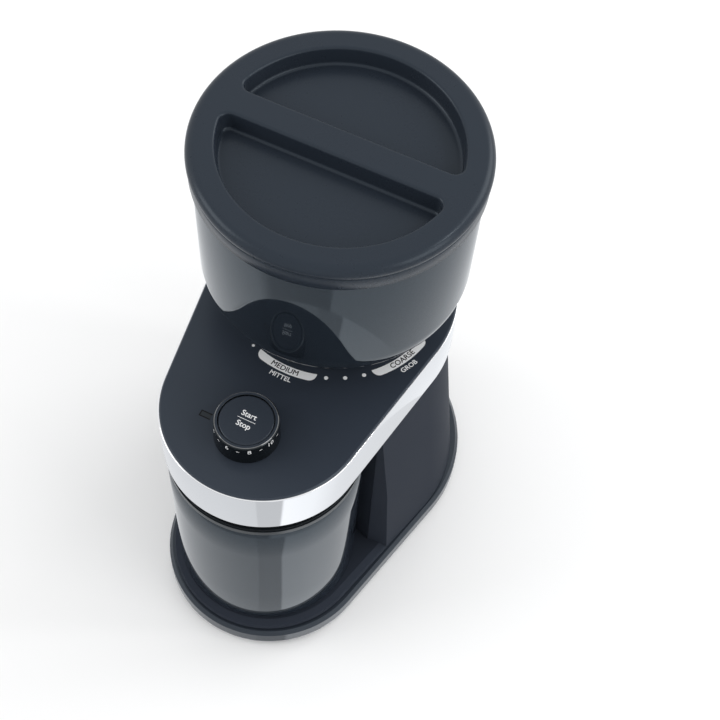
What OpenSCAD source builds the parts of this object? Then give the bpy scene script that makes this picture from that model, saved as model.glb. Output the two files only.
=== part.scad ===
// Burr coffee grinder: base and tower, overhanging head with timer knob, screw-in
// burr chamber, conical burrs on a geared motor, lift-off hopper and grounds cup.
// Millimetres, +Z up, front (knob and cup) faces -Y, feet stand on Z = 0.

/* [Head] */
// Radius of the head outline round the burr axis
plate_r_back = 70; // [62:0.5:80]
// Radius of the head outline round the cup axis
plate_r_front = 56.5; // [50:0.5:64]
// Distance from the burr axis to the cup axis
axis_gap = 85; // [80:1:100]
// Height of the top plate above the table
plate_z = 200; // [195:1:230]
// Height of the chrome band
band_h = 32; // [20:1:32]

/* [Base] */
// Radius of the base outline at the back
base_r_back = 85; // [80:1:95]
// Radius of the base outline at the front
base_r_front = 65; // [60:1:75]
// Thickness of the base tray above its underside
base_h = 14; // [12:1:18]
// Height of the rubber feet below the tray
foot_h = 3; // [2:0.5:6]

/* [Burr chamber] */
// Radius of the chamber bore
bore_r = 30; // [29:0.5:32]
// Outer radius of the collar round the bore
collar_r = 34.7; // [34:0.1:36]
// Radius of the opening in the top plate
plate_hole_r = 38.3; // [37:0.1:40]
// Radius of the circle of the three plate screws
screw_circle_r = 44.4; // [43:0.1:48]
// Largest radius of the cone burr
burr_r = 19; // [17:0.5:19]
// Fine teeth round the cone burr
burr_teeth = 24; // [16:1:30]
// Crown teeth between hopper neck and adjuster
crown_teeth = 24; // [16:1:30]

/* [Hopper] */
// Radius of the hopper lid
lid_r = 77; // [72:0.5:85]
// Height from the top plate to the widest part of the lid
hopper_h = 124; // [110:1:150]
// Radius of the two grip recesses in the lid
recess_r = 62; // [56:0.5:64]
// Depth of the grip recesses
recess_depth = 11; // [8:0.5:12]
// Width of the grip bar between the recesses
bar_w = 17; // [14:0.5:22]

/* [Grounds cup] */
// Outer radius of the cup
cup_r = 56; // [52:0.5:56]
// Wall of the cup
cup_wall = 2.2; // [1.8:0.1:3]

/* [Timer knob] */
// Radius of the dial at its top
dial_r = 17.5; // [15:0.5:20]
// Height of the dial above the plate
dial_h = 14.5; // [12:0.5:16]
// Radius of the start button
button_r = 14.9; // [12:0.1:15]

/* [Gears] */
// Module of all gears
gear_m = 1; // [1:0.1:1.2]
// Teeth of both pinions
pinion_z = 12; // [12:1:14]
// Teeth of the gear on the burr shaft
output_z = 42; // [40:1:44]
// Teeth of the intermediate wheel
wheel_z = 42; // [38:1:42]

/* [Show] */
// Node to draw

/* [Hidden] */
$fn = 96;

// steps of the two arcs of a pear outline
back_steps = 60;
front_steps = 46;

// plan positions
burr_y = 27;
cup_y = burr_y - axis_gap;
knob_y = burr_y - 104.6;
lay_angle = 145;
lay_x = gear_m * (output_z + pinion_z) / 2 * cos(lay_angle);
lay_y = burr_y + gear_m * (output_z + pinion_z) / 2 * sin(lay_angle);
motor_gap = gear_m * (wheel_z + pinion_z) / 2;
wheel_span = sqrt(motor_gap * motor_gap - lay_x * lay_x);
motor_y = lay_y + wheel_span;
wheel_angle = atan2(wheel_span, -lay_x);

// base and tower
base_y_back = 35;
base_y_front = -55;
tray_top = foot_h + base_h;
tray_floor = 3;
tray_wall = 3;
groove_h = 2;
groove_in = 6;
body_z = tray_top + groove_h;
body_in_back = 3.5;
body_in_front = 4;
body_y_back = 30;
body_y_front = -56;
body_wall = 2.6;
deck_z = body_z + 5;
deck_t = 2.6;
tower_top = plate_z - 37;
tower_in = 2.5;
front_edge_x = 57;
front_edge_y = -30;
niche_edge_y = -26;
front_slope = 0.185;
niche_gap = 1;
niche_r = cup_r + niche_gap;
cup_back_y = -14;
niche_back_y = cup_back_y + niche_gap - 0.2;
panel_t = 2.5;
window_w = 22;
window_z = 119;
window_h = 8;
boss_t = 6.6;
grommet_z = 38;
grommet_y = body_y_back + base_r_back - body_in_back + 0.2;
foot_r = 8;
foot_xy = [[46, -78], [-46, -78], [58, 72], [-58, 72]];
tray_screw_xy = [[56, -40], [-56, -40], [46, 84], [-46, 84]];

// head
head_floor = tower_top;
head_floor_t = 3;
head_wall = 2.5;
plate_t = 3;
plate_round = 1.2;
band_out = 0.7;
band_t = 1.5;
band_top = plate_z - plate_t + 1.8;
band_bottom = band_top - band_h;
flange_z = plate_z - 10;
flange_r = 50;
groove_floor = plate_z - 8;
screw_r = 1.4;
screw_head_r = 2.6;
chamber_hole_r = 36.4;

// burr chamber levels
floor_z = 114;
sweep_z = 118;
burr_z = 126.5;
burr_h = 16;
ledge_z = 146.6;
adjuster_z = 143.4;
crown_z = 148.6;
adjuster_top = 151;
rib_count = 5;
rib_pitch = 3;
chamber_low_r = 27;
burr_out_r = 23.2;
adjuster_r_in = 13.2;
dish_r = 19.1;
dish_drop = 3.6;
serrations = 2 * crown_teeth;
key_angle = 122;
key_floor = adjuster_top - 4;
sweep_r = 23.6;
bearing_r = 11;
bearing_h = 7;
shaft_r = 4;
fit = 0.05;
gearbox_top = 106;
gearbox_bottom = 87;
cover_t = 3;
hub_r = 15;
gear_plate_t = 3;
plate_back_r = 30;
plate_burr_r = 34.5;
standoff_xy = [[23, 9], [27, 39], [-10, -1]];
motor_r = 24;
motor_h = 54;
motor_wall = 1.5;
motor_z = gearbox_bottom - gear_plate_t - motor_h;

// hopper levels
lid_mid_z = plate_z + hopper_h;
lid_top_z = lid_mid_z + 4.6;
lid_bead_r = 5;
lid_floor_z = lid_top_z - recess_depth;
bowl_top_z = lid_mid_z - 9;
bowl_r_top = lid_r - 2.5;
bowl_r_low = lid_r - 3.3;
bowl_round = 26.7;
bowl_wall = 2.5;
bowl_z = plate_z + 15.6;
bowl_hole_r = 27.6;
ring_r = 54;
ring_z = plate_z + 0.4;
neck_r = 27.3;
neck_r_in = 24.5;
neck_tip_r = 23.2;
neck_tip_r_in = 19.4;
neck_tip_z = adjuster_top + 0.4;

// cup levels
cup_z = deck_z + 0.6;
cup_top = plate_z - 46.5;
cup_lid_t = 4.5;

// dial levels
dial_z = plate_z + 0.4;
dial_top = plate_z + dial_h + 0.4;
board_z = plate_z - 23.6;
board_t = 1.6;
post_top = plate_z + 1.2;
stem_z = post_top + 2.3;

plastic = [0.16, 0.18, 0.20];
smoke = [0.35, 0.37, 0.40];
steel = [0.72, 0.73, 0.75];
chrome = [0.88, 0.89, 0.90];
rubber = [0.08, 0.08, 0.09];
brass = [0.78, 0.62, 0.30];
nylon = [0.85, 0.84, 0.78];
board_green = [0.10, 0.35, 0.22];

// ---- outlines ----

// Pear outline: a large arc at the back, a small one in front, joined by their tangents.
function pear_points(r_back, r_front, y_back, y_front) =
  let (lean = asin((r_back - r_front) / (y_back - y_front)))
  concat(
    [for (i = [0 : back_steps]) let (a = (180 + 2 * lean) * i / back_steps - lean)
      [r_back * cos(a), y_back + r_back * sin(a)]],
    [for (i = [0 : front_steps]) let (a = (180 - 2 * lean) * i / front_steps + 180 + lean)
      [r_front * cos(a), y_front + r_front * sin(a)]]
  );

module pear(r_back, r_front, y_back, y_front)
  polygon(pear_points(r_back, r_front, y_back, y_front));

module head_outline(out = 0) pear(plate_r_back + out, plate_r_front + out, burr_y, cup_y);

module base_outline(out = 0)
  pear(base_r_back + out, base_r_front + out, base_y_back, base_y_front);

module body_outline(out = 0) pear(
  base_r_back - body_in_back + out, base_r_front - body_in_front + out,
  body_y_back, body_y_front
);

// Smooth step between two outlines of the same kind at two heights.
module loft(z0, z1) {
  slice = 0.01;
  hull() {
    translate([0, 0, z0]) linear_extrude(slice) children(0);
    translate([0, 0, z1 - slice]) linear_extrude(slice) children(1);
  }
}

// Everything in front of the tower, out = how far the tower face is set back.
module tower_front(out = 0) {
  far = 200;
  side = front_edge_y + front_slope * (far - front_edge_x);
  polygon([
    [-far, -far], [far, -far], [far, side + out],
    [front_edge_x, front_edge_y + out],
    [niche_edge_x(), niche_edge_y + out], [-niche_edge_x(), niche_edge_y + out],
    [-front_edge_x, front_edge_y + out], [-far, side + out]
  ]);
}

function niche_edge_x() = sqrt(pow(niche_r, 2) - pow(niche_edge_y - cup_y, 2));

// Cup pocket in plan, out = margin round it.
module niche_plan(out = 0) {
  intersection() {
    translate([0, cup_y]) circle(niche_r + out);
    translate([-100, cup_y]) square([200, niche_back_y + out - cup_y]);
  }
}

module ring(r_out, r_in, z0, z1) {
  difference() {
    translate([0, 0, z0]) cylinder(r = r_out, h = z1 - z0);
    translate([0, 0, z0 - 1]) cylinder(r = r_in, h = z1 - z0 + 2);
  }
}

module at_burr() translate([0, burr_y, 0]) children();
module at_cup() translate([0, cup_y, 0]) children();
module at_knob() translate([0, knob_y, 0]) children();
module at_lay() translate([lay_x, lay_y, 0]) children();
module at_motor() translate([0, motor_y, 0]) children();

module each_plate_screw()
  at_burr() for (a = [0, 120, 240]) rotate(a) translate([screw_circle_r, 0, 0]) children();

// ---- gears ----

function involute(rb, t) = [
  rb * (cos(t) + t * PI / 180 * sin(t)),
  rb * (sin(t) - t * PI / 180 * cos(t))
];
function turned(p, a) = [p[0] * cos(a) - p[1] * sin(a), p[0] * sin(a) + p[1] * cos(a)];

// Involute gear outline with a tooth centred on +X.
module gear_outline(z) {
  pressure = 25;
  backlash = 0.24;
  steps = 4;
  rp = gear_m * z / 2;
  rb = rp * cos(pressure);
  rt = rp + 0.9 * gear_m;
  rr = rp - 1.2 * gear_m;
  t_tip = sqrt(pow(rt / rb, 2) - 1) * 180 / PI;
  t_pitch = tan(pressure) * 180 / PI;
  half = 90 / z - backlash / rp * 90 / PI + t_pitch - pressure;
  root = rr * 180 / PI;
  flank = [for (i = [0 : steps]) turned(involute(rb, t_tip * i / steps), -half)];
  foot = turned([rr, 0], -half);
  low = concat([foot], flank);
  n = len(low);
  high = [for (i = [0 : n - 1]) [low[n - 1 - i][0], -low[n - 1 - i][1]]];
  tooth = concat(low, high);
  polygon([for (k = [0 : z - 1]) for (p = tooth) turned(p, k * 360 / z)]);
}

// ---- base and tower ----

module base_tray() color(plastic) difference() {
  union() {
    loft(foot_h, foot_h + 2) { base_outline(-2.5); base_outline(0); }
    translate([0, 0, foot_h + 2]) linear_extrude(base_h - 5) base_outline(0);
    loft(tray_top - 3, tray_top) { base_outline(0); base_outline(-2); }
    translate([0, 0, tray_top]) linear_extrude(groove_h) body_outline(-groove_in);
  }
  translate([0, 0, foot_h + tray_floor]) linear_extrude(base_h) body_outline(-groove_in - tray_wall);
  for (p = foot_xy) translate([p[0], p[1], foot_h - 1]) cylinder(r = foot_r + 0.1, h = 2);
  for (p = tray_screw_xy) translate([p[0], p[1], 0]) {
    cylinder(r = screw_r + 0.3, h = 20);
    cylinder(r = 3.4, h = foot_h + 1);
  }
  for (i = [-3 : 3]) translate([i * 9 - 2, 30, 0]) cube([4, 36, 10]);
}

module rubber_feet() color(rubber)
  for (p = foot_xy) translate([p[0], p[1], 0]) {
    cylinder(r1 = foot_r - 0.8, r2 = foot_r, h = 1);
    translate([0, 0, 1]) cylinder(r = foot_r, h = foot_h);
  }

module base_screws() color(steel)
  for (p = tray_screw_xy) translate([p[0], p[1], 0]) {
    difference() {
      translate([0, 0, foot_h - 0.8]) cylinder(r = 3, h = 1.8);
      translate([-0.5, -2, foot_h - 1]) cube([1, 4, 1]);
    }
    translate([0, 0, foot_h + 1]) cylinder(r = screw_r, h = tray_floor + 10);
  }

// Moulded body: deck under the cup and flared tower behind it.
module body_shell() color(plastic) difference() {
  union() {
    difference() {
      loft(body_z, tower_top) { body_outline(0); head_outline(-tower_in); }
      translate([0, 0, body_z - 1]) linear_extrude(tower_top) tower_front();
      loft(body_z - 1, tower_top + 1) {
        body_outline(-body_wall);
        head_outline(-tower_in - body_wall);
      }
    }
    // front returns of the side walls
    intersection() {
      loft(body_z, tower_top) { body_outline(-0.5); head_outline(-tower_in - 0.5); }
      translate([0, 0, body_z]) linear_extrude(tower_top - body_z) difference() {
        tower_front(body_wall);
        tower_front();
        square([2 * front_edge_x, 200], center = true);
      }
    }
    deck();
    // flat boss that the cord grommet seats on
    at_grommet() translate([0, 0, -boss_t]) cylinder(r = 11, h = boss_t);
  }
  at_grommet() cylinder(r = 7, h = 20, center = true);
}

// Deck under the cup, with a rounded shoulder.
module deck() {
  shoulder = deck_z - body_z;
  difference() {
    intersection() {
      union() {
        loft(body_z, body_z + shoulder * 0.5) { body_outline(0); body_outline(-0.8); }
        loft(body_z + shoulder * 0.5, deck_z) { body_outline(-0.8); body_outline(-4.5); }
      }
      translate([0, 0, body_z - 1]) linear_extrude(20) tower_front(body_wall);
    }
    translate([0, 0, body_z - 1]) linear_extrude(shoulder - deck_t + 1)
      intersection() {
        body_outline(-body_wall - 1.4);
        tower_front(body_wall + 1);
      }
    for (p = tray_screw_xy) translate([p[0], p[1], body_z - 1])
      cylinder(r = screw_r + 0.1, h = 3);
  }
}

module at_grommet()
  translate([0, grommet_y, grommet_z]) rotate([-90, 0, 0]) children();

module cord_grommet() color(rubber) at_grommet() difference() {
  union() {
    translate([0, 0, -boss_t - 1]) cylinder(r = 6.8, h = boss_t + 1);
    cylinder(r = 9, h = 2);
    translate([0, 0, -boss_t - 1.7]) cylinder(r1 = 7.6, r2 = 8.6, h = 1.6);
  }
  cylinder(r = 4, h = 40, center = true);
}

// Panel that lines the cup pocket, with the outlet window.
module niche_panel() color(plastic) difference() {
  z0 = deck_z + 0.2;
  translate([0, 0, z0]) linear_extrude(tower_top - z0 - 0.2) difference() {
    union() {
      intersection() {
        niche_plan(panel_t);
        translate([-100, niche_edge_y - 3]) square([200, 100]);
      }
      polygon([
        [front_edge_x - 0.2, front_edge_y + 0.1],
        [front_edge_x - 0.2, front_edge_y + panel_t],
        [niche_edge_x() - 2, niche_edge_y + panel_t + 1.5],
        [2 - niche_edge_x(), niche_edge_y + panel_t + 1.5],
        [0.2 - front_edge_x, front_edge_y + panel_t],
        [0.2 - front_edge_x, front_edge_y + 0.1],
        [1 - niche_edge_x(), niche_edge_y + 0.4],
        [niche_edge_x() - 1, niche_edge_y + 0.4]
      ]);
    }
    niche_plan();
    tower_front();
  }
  translate([-window_w / 2, -40, window_z]) cube([window_w, 60, window_h]);
}

// ---- head ----

module head_shell() color(plastic) difference() {
  union() {
    translate([0, 0, head_floor]) linear_extrude(head_floor_t) head_outline(-1.4);
    translate([0, 0, head_floor + head_floor_t])
      linear_extrude(band_bottom - head_floor - head_floor_t) head_outline(0.2);
    translate([0, 0, band_bottom])
      linear_extrude(plate_z - plate_t - band_bottom) head_outline(-1);
  }
  translate([0, 0, head_floor + head_floor_t])
    linear_extrude(60) head_outline(-1.4 - head_wall);
  at_burr() cylinder(r = chamber_hole_r, h = 300);
}

module chrome_band() color(chrome)
  translate([0, 0, band_bottom]) linear_extrude(band_h) difference() {
    head_outline(band_out);
    head_outline(band_out - band_t);
  }

module top_plate() color(plastic) difference() {
  union() {
    translate([0, 0, plate_z - plate_t]) linear_extrude(1.8) head_outline(-1);
    translate([0, 0, plate_z - plate_t + 1.8])
      linear_extrude(plate_t - 1.8 - plate_round + 0.4) head_outline(0);
    loft(plate_z - plate_round + 0.4, plate_z) { head_outline(0); head_outline(-0.8); }
  }
  at_burr() cylinder(r = plate_hole_r, h = 300);
  at_knob() cylinder(r = 5.6, h = 300);
  each_plate_screw() cylinder(r = screw_r + 0.2, h = 300);
}

module plate_screws() color(plastic) each_plate_screw() {
  translate([0, 0, flange_z + 1]) cylinder(r = screw_r, h = plate_z - flange_z);
  difference() {
    intersection() {
      translate([0, 0, plate_z]) cylinder(r = screw_head_r, h = 1.6);
      translate([0, 0, plate_z - 2.2]) sphere(r = 3.8);
    }
    for (a = [0, 90]) rotate(a) translate([-1.5, -0.3, plate_z + 0.8]) cube([3, 0.6, 2]);
  }
}

// ---- burr chamber and drive ----

// Turned chamber: collar, thread ribs, ledge for the adjuster, burr seat and sweep floor.
module burr_chamber() color(plastic) difference() {
  union() {
    at_burr() difference() {
      rotate_extrude() polygon([
        [0, gearbox_top], [hub_r, gearbox_top], [hub_r, gearbox_top + cover_t],
        [chamber_low_r, gearbox_top + cover_t], [chamber_low_r, ledge_z - 6],
        [collar_r, ledge_z - 6],
        [collar_r, flange_z], [flange_r, flange_z], [flange_r, plate_z - plate_t],
        [plate_hole_r + 0.4, plate_z - plate_t], [plate_hole_r + 0.4, groove_floor],
        [collar_r, groove_floor], [collar_r, plate_z], [0, plate_z]
      ]);
      translate([0, 0, ledge_z]) cylinder(r = bore_r, h = 100);
      translate([0, 0, burr_z - 1]) cylinder(r = burr_out_r + 0.4, h = 50);
      translate([0, 0, sweep_z]) cylinder(r = sweep_r, h = burr_z - sweep_z);
      translate([0, 0, floor_z - 0.2]) cylinder(r = 8, h = 50);
      translate([0, 0, 90]) cylinder(r = bearing_r + fit, h = floor_z - 90);
      for (a = [90, 270]) rotate(a)
        translate([burr_out_r - 2, -2.2, burr_z - 1]) cube([5, 4.4, ledge_z - burr_z]);
      rotate(43) translate([36.4, 0, 0]) cylinder(r = 1.5, h = 300);
    }
    thread_ribs();
  }
  translate([-window_w / 2, -20, window_z]) cube([window_w, 40, window_h]);
  each_plate_screw() translate([0, 0, flange_z - 1]) cylinder(r = screw_r + fit, h = 20);
}

// Thread ribs on one side of the bore.
module thread_ribs()
  at_burr() for (k = [0 : rib_count - 1]) translate([0, 0, 157.4 + rib_pitch * k])
    rotate([0, 1.5, 0]) rotate(118) rotate_extrude(angle = 117)
      polygon([[bore_r + 0.6, 0], [bore_r - 1.5, 0.7], [bore_r - 1.5, 1.5], [bore_r + 0.6, 2.2]]);

module gearbox_outline() {
  translate([0, burr_y]) circle(plate_burr_r);
  translate([0, motor_y]) circle(plate_back_r);
}

module shaft_seal() color(rubber) at_burr() ring(7.9, shaft_r + 0.3, floor_z, sweep_z - 0.4);

module upper_bearing() color(steel) at_burr() difference() {
  ring(bearing_r, shaft_r + fit, floor_z - bearing_h, floor_z - 0.2);
  translate([0, 0, floor_z - bearing_h]) ring(9.2, 6.2, -0.1, 0.8);
}

// Duct from the sweep floor to the cup window.
module outlet_duct() color(plastic)
  translate([0, 0, window_z]) difference() {
    wall = 1.6;
    translate([-window_w / 2 + 0.1, niche_back_y, 0.1])
      cube([window_w - 0.2, burr_y - sweep_r - niche_back_y - 1.2, window_h - 0.2]);
    translate([-window_w / 2 + wall, niche_back_y - 5, wall])
      cube([window_w - 2 * wall, 60, window_h - 2 * wall]);
  }

// Plate that closes the gearbox from above and carries the burr chamber.
module gearbox_cover() color(plastic) difference() {
  translate([0, 0, gearbox_top]) linear_extrude(cover_t) gearbox_outline();
  at_burr() cylinder(r = hub_r + fit, h = 200);
  at_lay() cylinder(r = 2 + fit, h = 200);
  for (p = standoff_xy) translate([p[0], p[1], 0]) cylinder(r = screw_r + 0.1, h = 200);
}

module gear_plate() color(steel) difference() {
  union() {
    translate([0, 0, gearbox_bottom - gear_plate_t]) linear_extrude(gear_plate_t) gearbox_outline();
    at_burr() translate([0, 0, gearbox_bottom - gear_plate_t]) cylinder(r = 10, h = 6);
  }
  at_burr() cylinder(r = 7 + fit, h = 200);
  at_motor() cylinder(r = 7, h = 200);
  at_lay() cylinder(r = 2 + fit, h = 200);
  for (p = standoff_xy) translate([p[0], p[1], 0]) cylinder(r = screw_r + 0.2, h = 200);
}

module gear_standoffs() color(brass)
  for (p = standoff_xy) translate([p[0], p[1], 0])
    ring(3.6, screw_r + 0.2, gearbox_bottom, gearbox_top);

module gear_screws() color(steel)
  for (p = standoff_xy) translate([p[0], p[1], gearbox_bottom - gear_plate_t]) {
    translate([0, 0, -1.8]) cylinder(r = 2.8, h = 1.8);
    cylinder(r = screw_r, h = gearbox_top - gearbox_bottom + gear_plate_t + 2.5);
  }

module lower_bushing() color(brass) at_burr() difference() {
  union() {
    translate([0, 0, gearbox_bottom - gear_plate_t]) cylinder(r = 7, h = 6);
    translate([0, 0, gearbox_bottom + 3]) cylinder(r = 8.4, h = 0.4);
  }
  cylinder(r = shaft_r + fit, h = 200);
}

module layshaft_pin() color(steel) at_lay()
  translate([0, 0, gearbox_bottom - gear_plate_t]) cylinder(r = 2, h = gearbox_top + cover_t - gearbox_bottom + gear_plate_t);

module burr_shaft() color(steel) at_burr() {
  translate([0, 0, gearbox_bottom - gear_plate_t]) cylinder(r = shaft_r, h = 69);
  translate([0, 0, 153]) cylinder(r = 2.8, h = 4.5);
}

// Cone burr: fine slanted teeth below, three large crushing flutes above.
module cone_burr() color(steel) at_burr() difference() {
  shoulder_z = burr_z + 9;
  union() {
    translate([0, 0, burr_z]) cylinder(r1 = burr_r, r2 = burr_r - 1.6, h = 9);
    translate([0, 0, shoulder_z]) cylinder(r1 = burr_r - 1.6, r2 = 6.6, h = 17.5);
  }
  cylinder(r = shaft_r + 0.02, h = 300);
  for (i = [0 : burr_teeth - 1]) rotate(i * 360 / burr_teeth)
    translate([burr_r + 0.1, 0, burr_z + 4]) rotate([16, -8, 0]) rotate(45)
      cube([1.5, 1.5, 14], center = true);
  for (a = [55, 175, 295]) rotate(a)
    translate([13.5, 0, burr_z + 18]) rotate([38, -30, 0]) cylinder(r = 4.6, h = 40, center = true);
}

module burr_nut() color(steel) at_burr() difference() {
  union() {
    translate([0, 0, 153.1]) cylinder(r = 6, h = 1.1);
    translate([0, 0, 154.2]) cylinder(r = 4.9, h = 3.6, $fn = 6);
  }
  cylinder(r = 2.85, h = 300);
}

module impeller() color(nylon) at_burr() difference() {
  union() {
    translate([0, 0, sweep_z + 0.6]) cylinder(r = 22.8, h = 1.4);
    translate([0, 0, sweep_z + 0.6]) cylinder(r = 9, h = burr_z - sweep_z - 0.8);
    for (a = [0 : 60 : 300]) rotate(a)
      translate([7, -1, sweep_z + 0.6]) cube([15.4, 2, burr_z - sweep_z - 1.6]);
  }
  cylinder(r = shaft_r + 0.02, h = 300);
}

// Outer burr: cone-shaped throat with vertical teeth, two keys that keep it from turning.
module ring_burr() color(steel) at_burr() difference() {
  union() {
    rotate_extrude() polygon([
      [burr_r + 0.9, burr_z], [burr_out_r, burr_z], [burr_out_r, burr_z + burr_h],
      [burr_out_r - 1.6, burr_z + burr_h], [burr_r - 0.6, burr_z + 9]
    ]);
    for (a = [90, 270]) rotate(a)
      translate([burr_out_r - 1, -2, burr_z + 2]) cube([3, 4, burr_h - 4]);
  }
  for (i = [0 : 35]) rotate(i * 10)
    translate([burr_r + 0.1, 0, burr_z + 4.5]) rotate([0, -9, 0]) rotate(45)
      cube([1.1, 1.1, 14], center = true);
}

// Adjuster: a serrated dish with crown teeth round it that take the hopper neck.
module adjuster_ring() color(steel) at_burr() difference() {
  rotate_extrude() polygon([
    [burr_out_r - 6, adjuster_z], [burr_out_r, adjuster_z], [burr_out_r, adjuster_top],
    [dish_r, adjuster_top], [adjuster_r_in, adjuster_top - dish_drop],
    [adjuster_r_in, adjuster_top - dish_drop - 1.2]
  ]);
  for (i = [0 : crown_teeth - 1]) rotate((i + 0.5) * 360 / crown_teeth)
    translate([neck_tip_r_in - 0.3, -1.7, crown_z]) cube([10, 3.4, 10]);
  for (i = [0 : serrations - 1]) rotate(i * 360 / serrations)
    translate([dish_r - 3.6, -0.6, crown_z + 0.4]) cube([3.8, 1.2, 10]);
  rotate(key_angle) translate([adjuster_r_in + 0.5, -2.7, key_floor]) cube([7.4, 5.4, 10]);
}

module adjuster_key() color(chrome) at_burr() rotate(key_angle)
  translate([adjuster_r_in + 0.8, -2.1, key_floor]) cube([4, 4.2, 2.6]);

module output_gear() color(nylon) at_burr() translate([0, 0, gearbox_bottom + 3.8]) difference() {
  union() {
    linear_extrude(6) rotate(lay_angle) gear_outline(output_z);
    cylinder(r = 8, h = 7);
  }
  translate([0, 0, 4]) ring(17, 9, 0, 3);
  cylinder(r = shaft_r + 0.02, h = 30, center = true);
}

module lay_pinion() color(steel) at_lay()
  translate([0, 0, gearbox_bottom + 2]) linear_extrude(9.5) difference() {
    rotate(lay_angle + 180 + 180 / pinion_z) gear_outline(pinion_z);
    circle(2 + 0.08);
  }

module lay_wheel() color(nylon) at_lay() translate([0, 0, gearbox_bottom + 11.5]) difference() {
  linear_extrude(6) rotate(wheel_angle) gear_outline(wheel_z);
  translate([0, 0, 4.5]) ring(20, 7, 0, 3);
  cylinder(r = 2 + 0.08, h = 30, center = true);
}

module motor_pinion() color(steel) at_motor()
  translate([0, 0, gearbox_bottom + 11]) linear_extrude(7.2) difference() {
    rotate(wheel_angle + 180 + 180 / pinion_z) gear_outline(pinion_z);
    circle(2.52);
  }

module motor_rotor() color(steel) at_motor() {
  translate([0, 0, motor_z - 3]) cylinder(r = 2.5, h = gearbox_top - motor_z + 2.4);
  translate([0, 0, motor_z + 10]) difference() {
    ring(15, 2.5, 0, 34);
    for (i = [0 : 11]) rotate(i * 30) translate([11, -0.8, -1]) cube([5, 1.6, 40]);
  }
}

module motor_can() color(steel) at_motor() difference() {
  ring(motor_r, motor_r - motor_wall, motor_z, motor_z + motor_h - motor_wall);
  for (a = [45 : 90 : 315]) rotate(a) translate([motor_r, 0, motor_z + 4])
    cube([10, 8, 6], center = true);
}

module motor_magnets() color(rubber) at_motor()
  for (a = [20, 200]) rotate(a) translate([0, 0, motor_z + 8])
    rotate_extrude(angle = 140) translate([15.6, 0]) square([6.8, 38]);

module motor_endcap() color(plastic) at_motor() {
  ring(motor_r, 2.6, motor_z + motor_h - motor_wall, motor_z + motor_h);
  ring(motor_r, 2.6, motor_z - 2, motor_z);
}

// ---- control ----

module control_board() color(board_green) at_knob() difference() {
  union() {
    translate([-32, -22, board_z]) cube([64, 44, board_t]);
    translate([-28, 6, board_z + board_t]) cube([15, 12, 9]);
    translate([14, 4, board_z + board_t]) cube([14, 14, 6]);
    translate([-26, -18, board_z + board_t]) cube([8, 10, 8]);
    for (x = [16, 24]) translate([x, -12, board_z + board_t]) cylinder(r = 3, h = 9);
    for (x = [-29, 29]) for (y = [-19, 19])
      translate([x, y, head_floor + head_floor_t])
        cylinder(r = 2.4, h = board_z - head_floor - head_floor_t);
  }
  cylinder(r = 1, h = 300);
}

// Encoder of the dial, with the fixed post that carries the button's switch.
module timer_encoder() color(steel) at_knob() {
  translate([0, 0, board_z + board_t]) difference() {
    translate([-7, -7, 0]) cube([14, 14, 8]);
    translate([0, 0, 1]) cylinder(r = 3.1, h = 30);
  }
  translate([0, 0, board_z + board_t + 0.5]) cylinder(r = 1.5, h = post_top - board_z - board_t - 0.5);
}

// Dial ring with a hub that goes down to the encoder.
module timer_dial() color(plastic) at_knob() difference() {
  union() {
    translate([0, 0, dial_z]) cylinder(r1 = dial_r + 0.6, r2 = dial_r, h = dial_h - 0.8);
    translate([0, 0, dial_top - 0.8]) cylinder(r1 = dial_r, r2 = dial_r - 0.8, h = 0.8);
    translate([0, 0, plate_z - 8]) cylinder(r = 5, h = 12);
    translate([0, 0, board_z + board_t + 1.6]) cylinder(r = 3, h = 14);
  }
  translate([0, 0, dial_z + 5]) cylinder(r = button_r + 0.3, h = 30);
  difference() {
    translate([0, 0, dial_z - 1]) cylinder(r = dial_r - 1.8, h = 3.5);
    cylinder(r = 7, h = 300);
  }
  cylinder(r = 1.8, h = 300);
}

module start_button() color(plastic) at_knob() {
  translate([0, 0, dial_z + 9.5]) cylinder(r = button_r, h = dial_h - 10.2);
  translate([0, 0, dial_top - 0.7]) cylinder(r1 = button_r, r2 = button_r - 0.7, h = 0.5);
  translate([0, 0, stem_z]) cylinder(r = 1.7, h = dial_z + 9.5 - stem_z);
}

module button_spring() color(steel) at_knob()
  translate([0, 0, dial_z + 5.4]) coil(4.2, 0.4, 3.7, 4);

// Helical coil: r = radius of the helix, wire = radius of its wire.
module coil(r, wire, rise, turns) {
  sides = 8;
  steps = turns * 18;
  spine = [for (i = [0 : steps]) [360 * turns * i / steps, rise * i / steps]];
  points = [for (s = spine) for (k = [0 : sides - 1])
    let (b = 360 * k / sides, q = r + wire * cos(b))
    [q * cos(s[0]), q * sin(s[0]), s[1] + wire * sin(b)]];
  walls = [for (i = [0 : steps - 1]) for (k = [0 : sides - 1])
    let (a = i * sides + k, b = i * sides + (k + 1) % sides)
    [a, b, b + sides, a + sides]];
  first = [for (k = [sides - 1 : -1 : 0]) k];
  last = [for (k = [0 : sides - 1]) steps * sides + k];
  polyhedron(points, concat([first], walls, [last]), convexity = 8);
}

module hopper_pin() color(chrome) at_burr() rotate(43) translate([36.4, 0, 0]) {
  translate([0, 0, flange_z - 2.6]) cylinder(r = 1.4, h = 11.6);
  translate([0, 0, plate_z - 1]) sphere(r = 1.4);
}

module hopper_switch() color(rubber) at_burr() rotate(43)
  translate([collar_r + 0.5, -4, flange_z - 10]) cube([6, 8, 5]);

// ---- hopper ----

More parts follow.
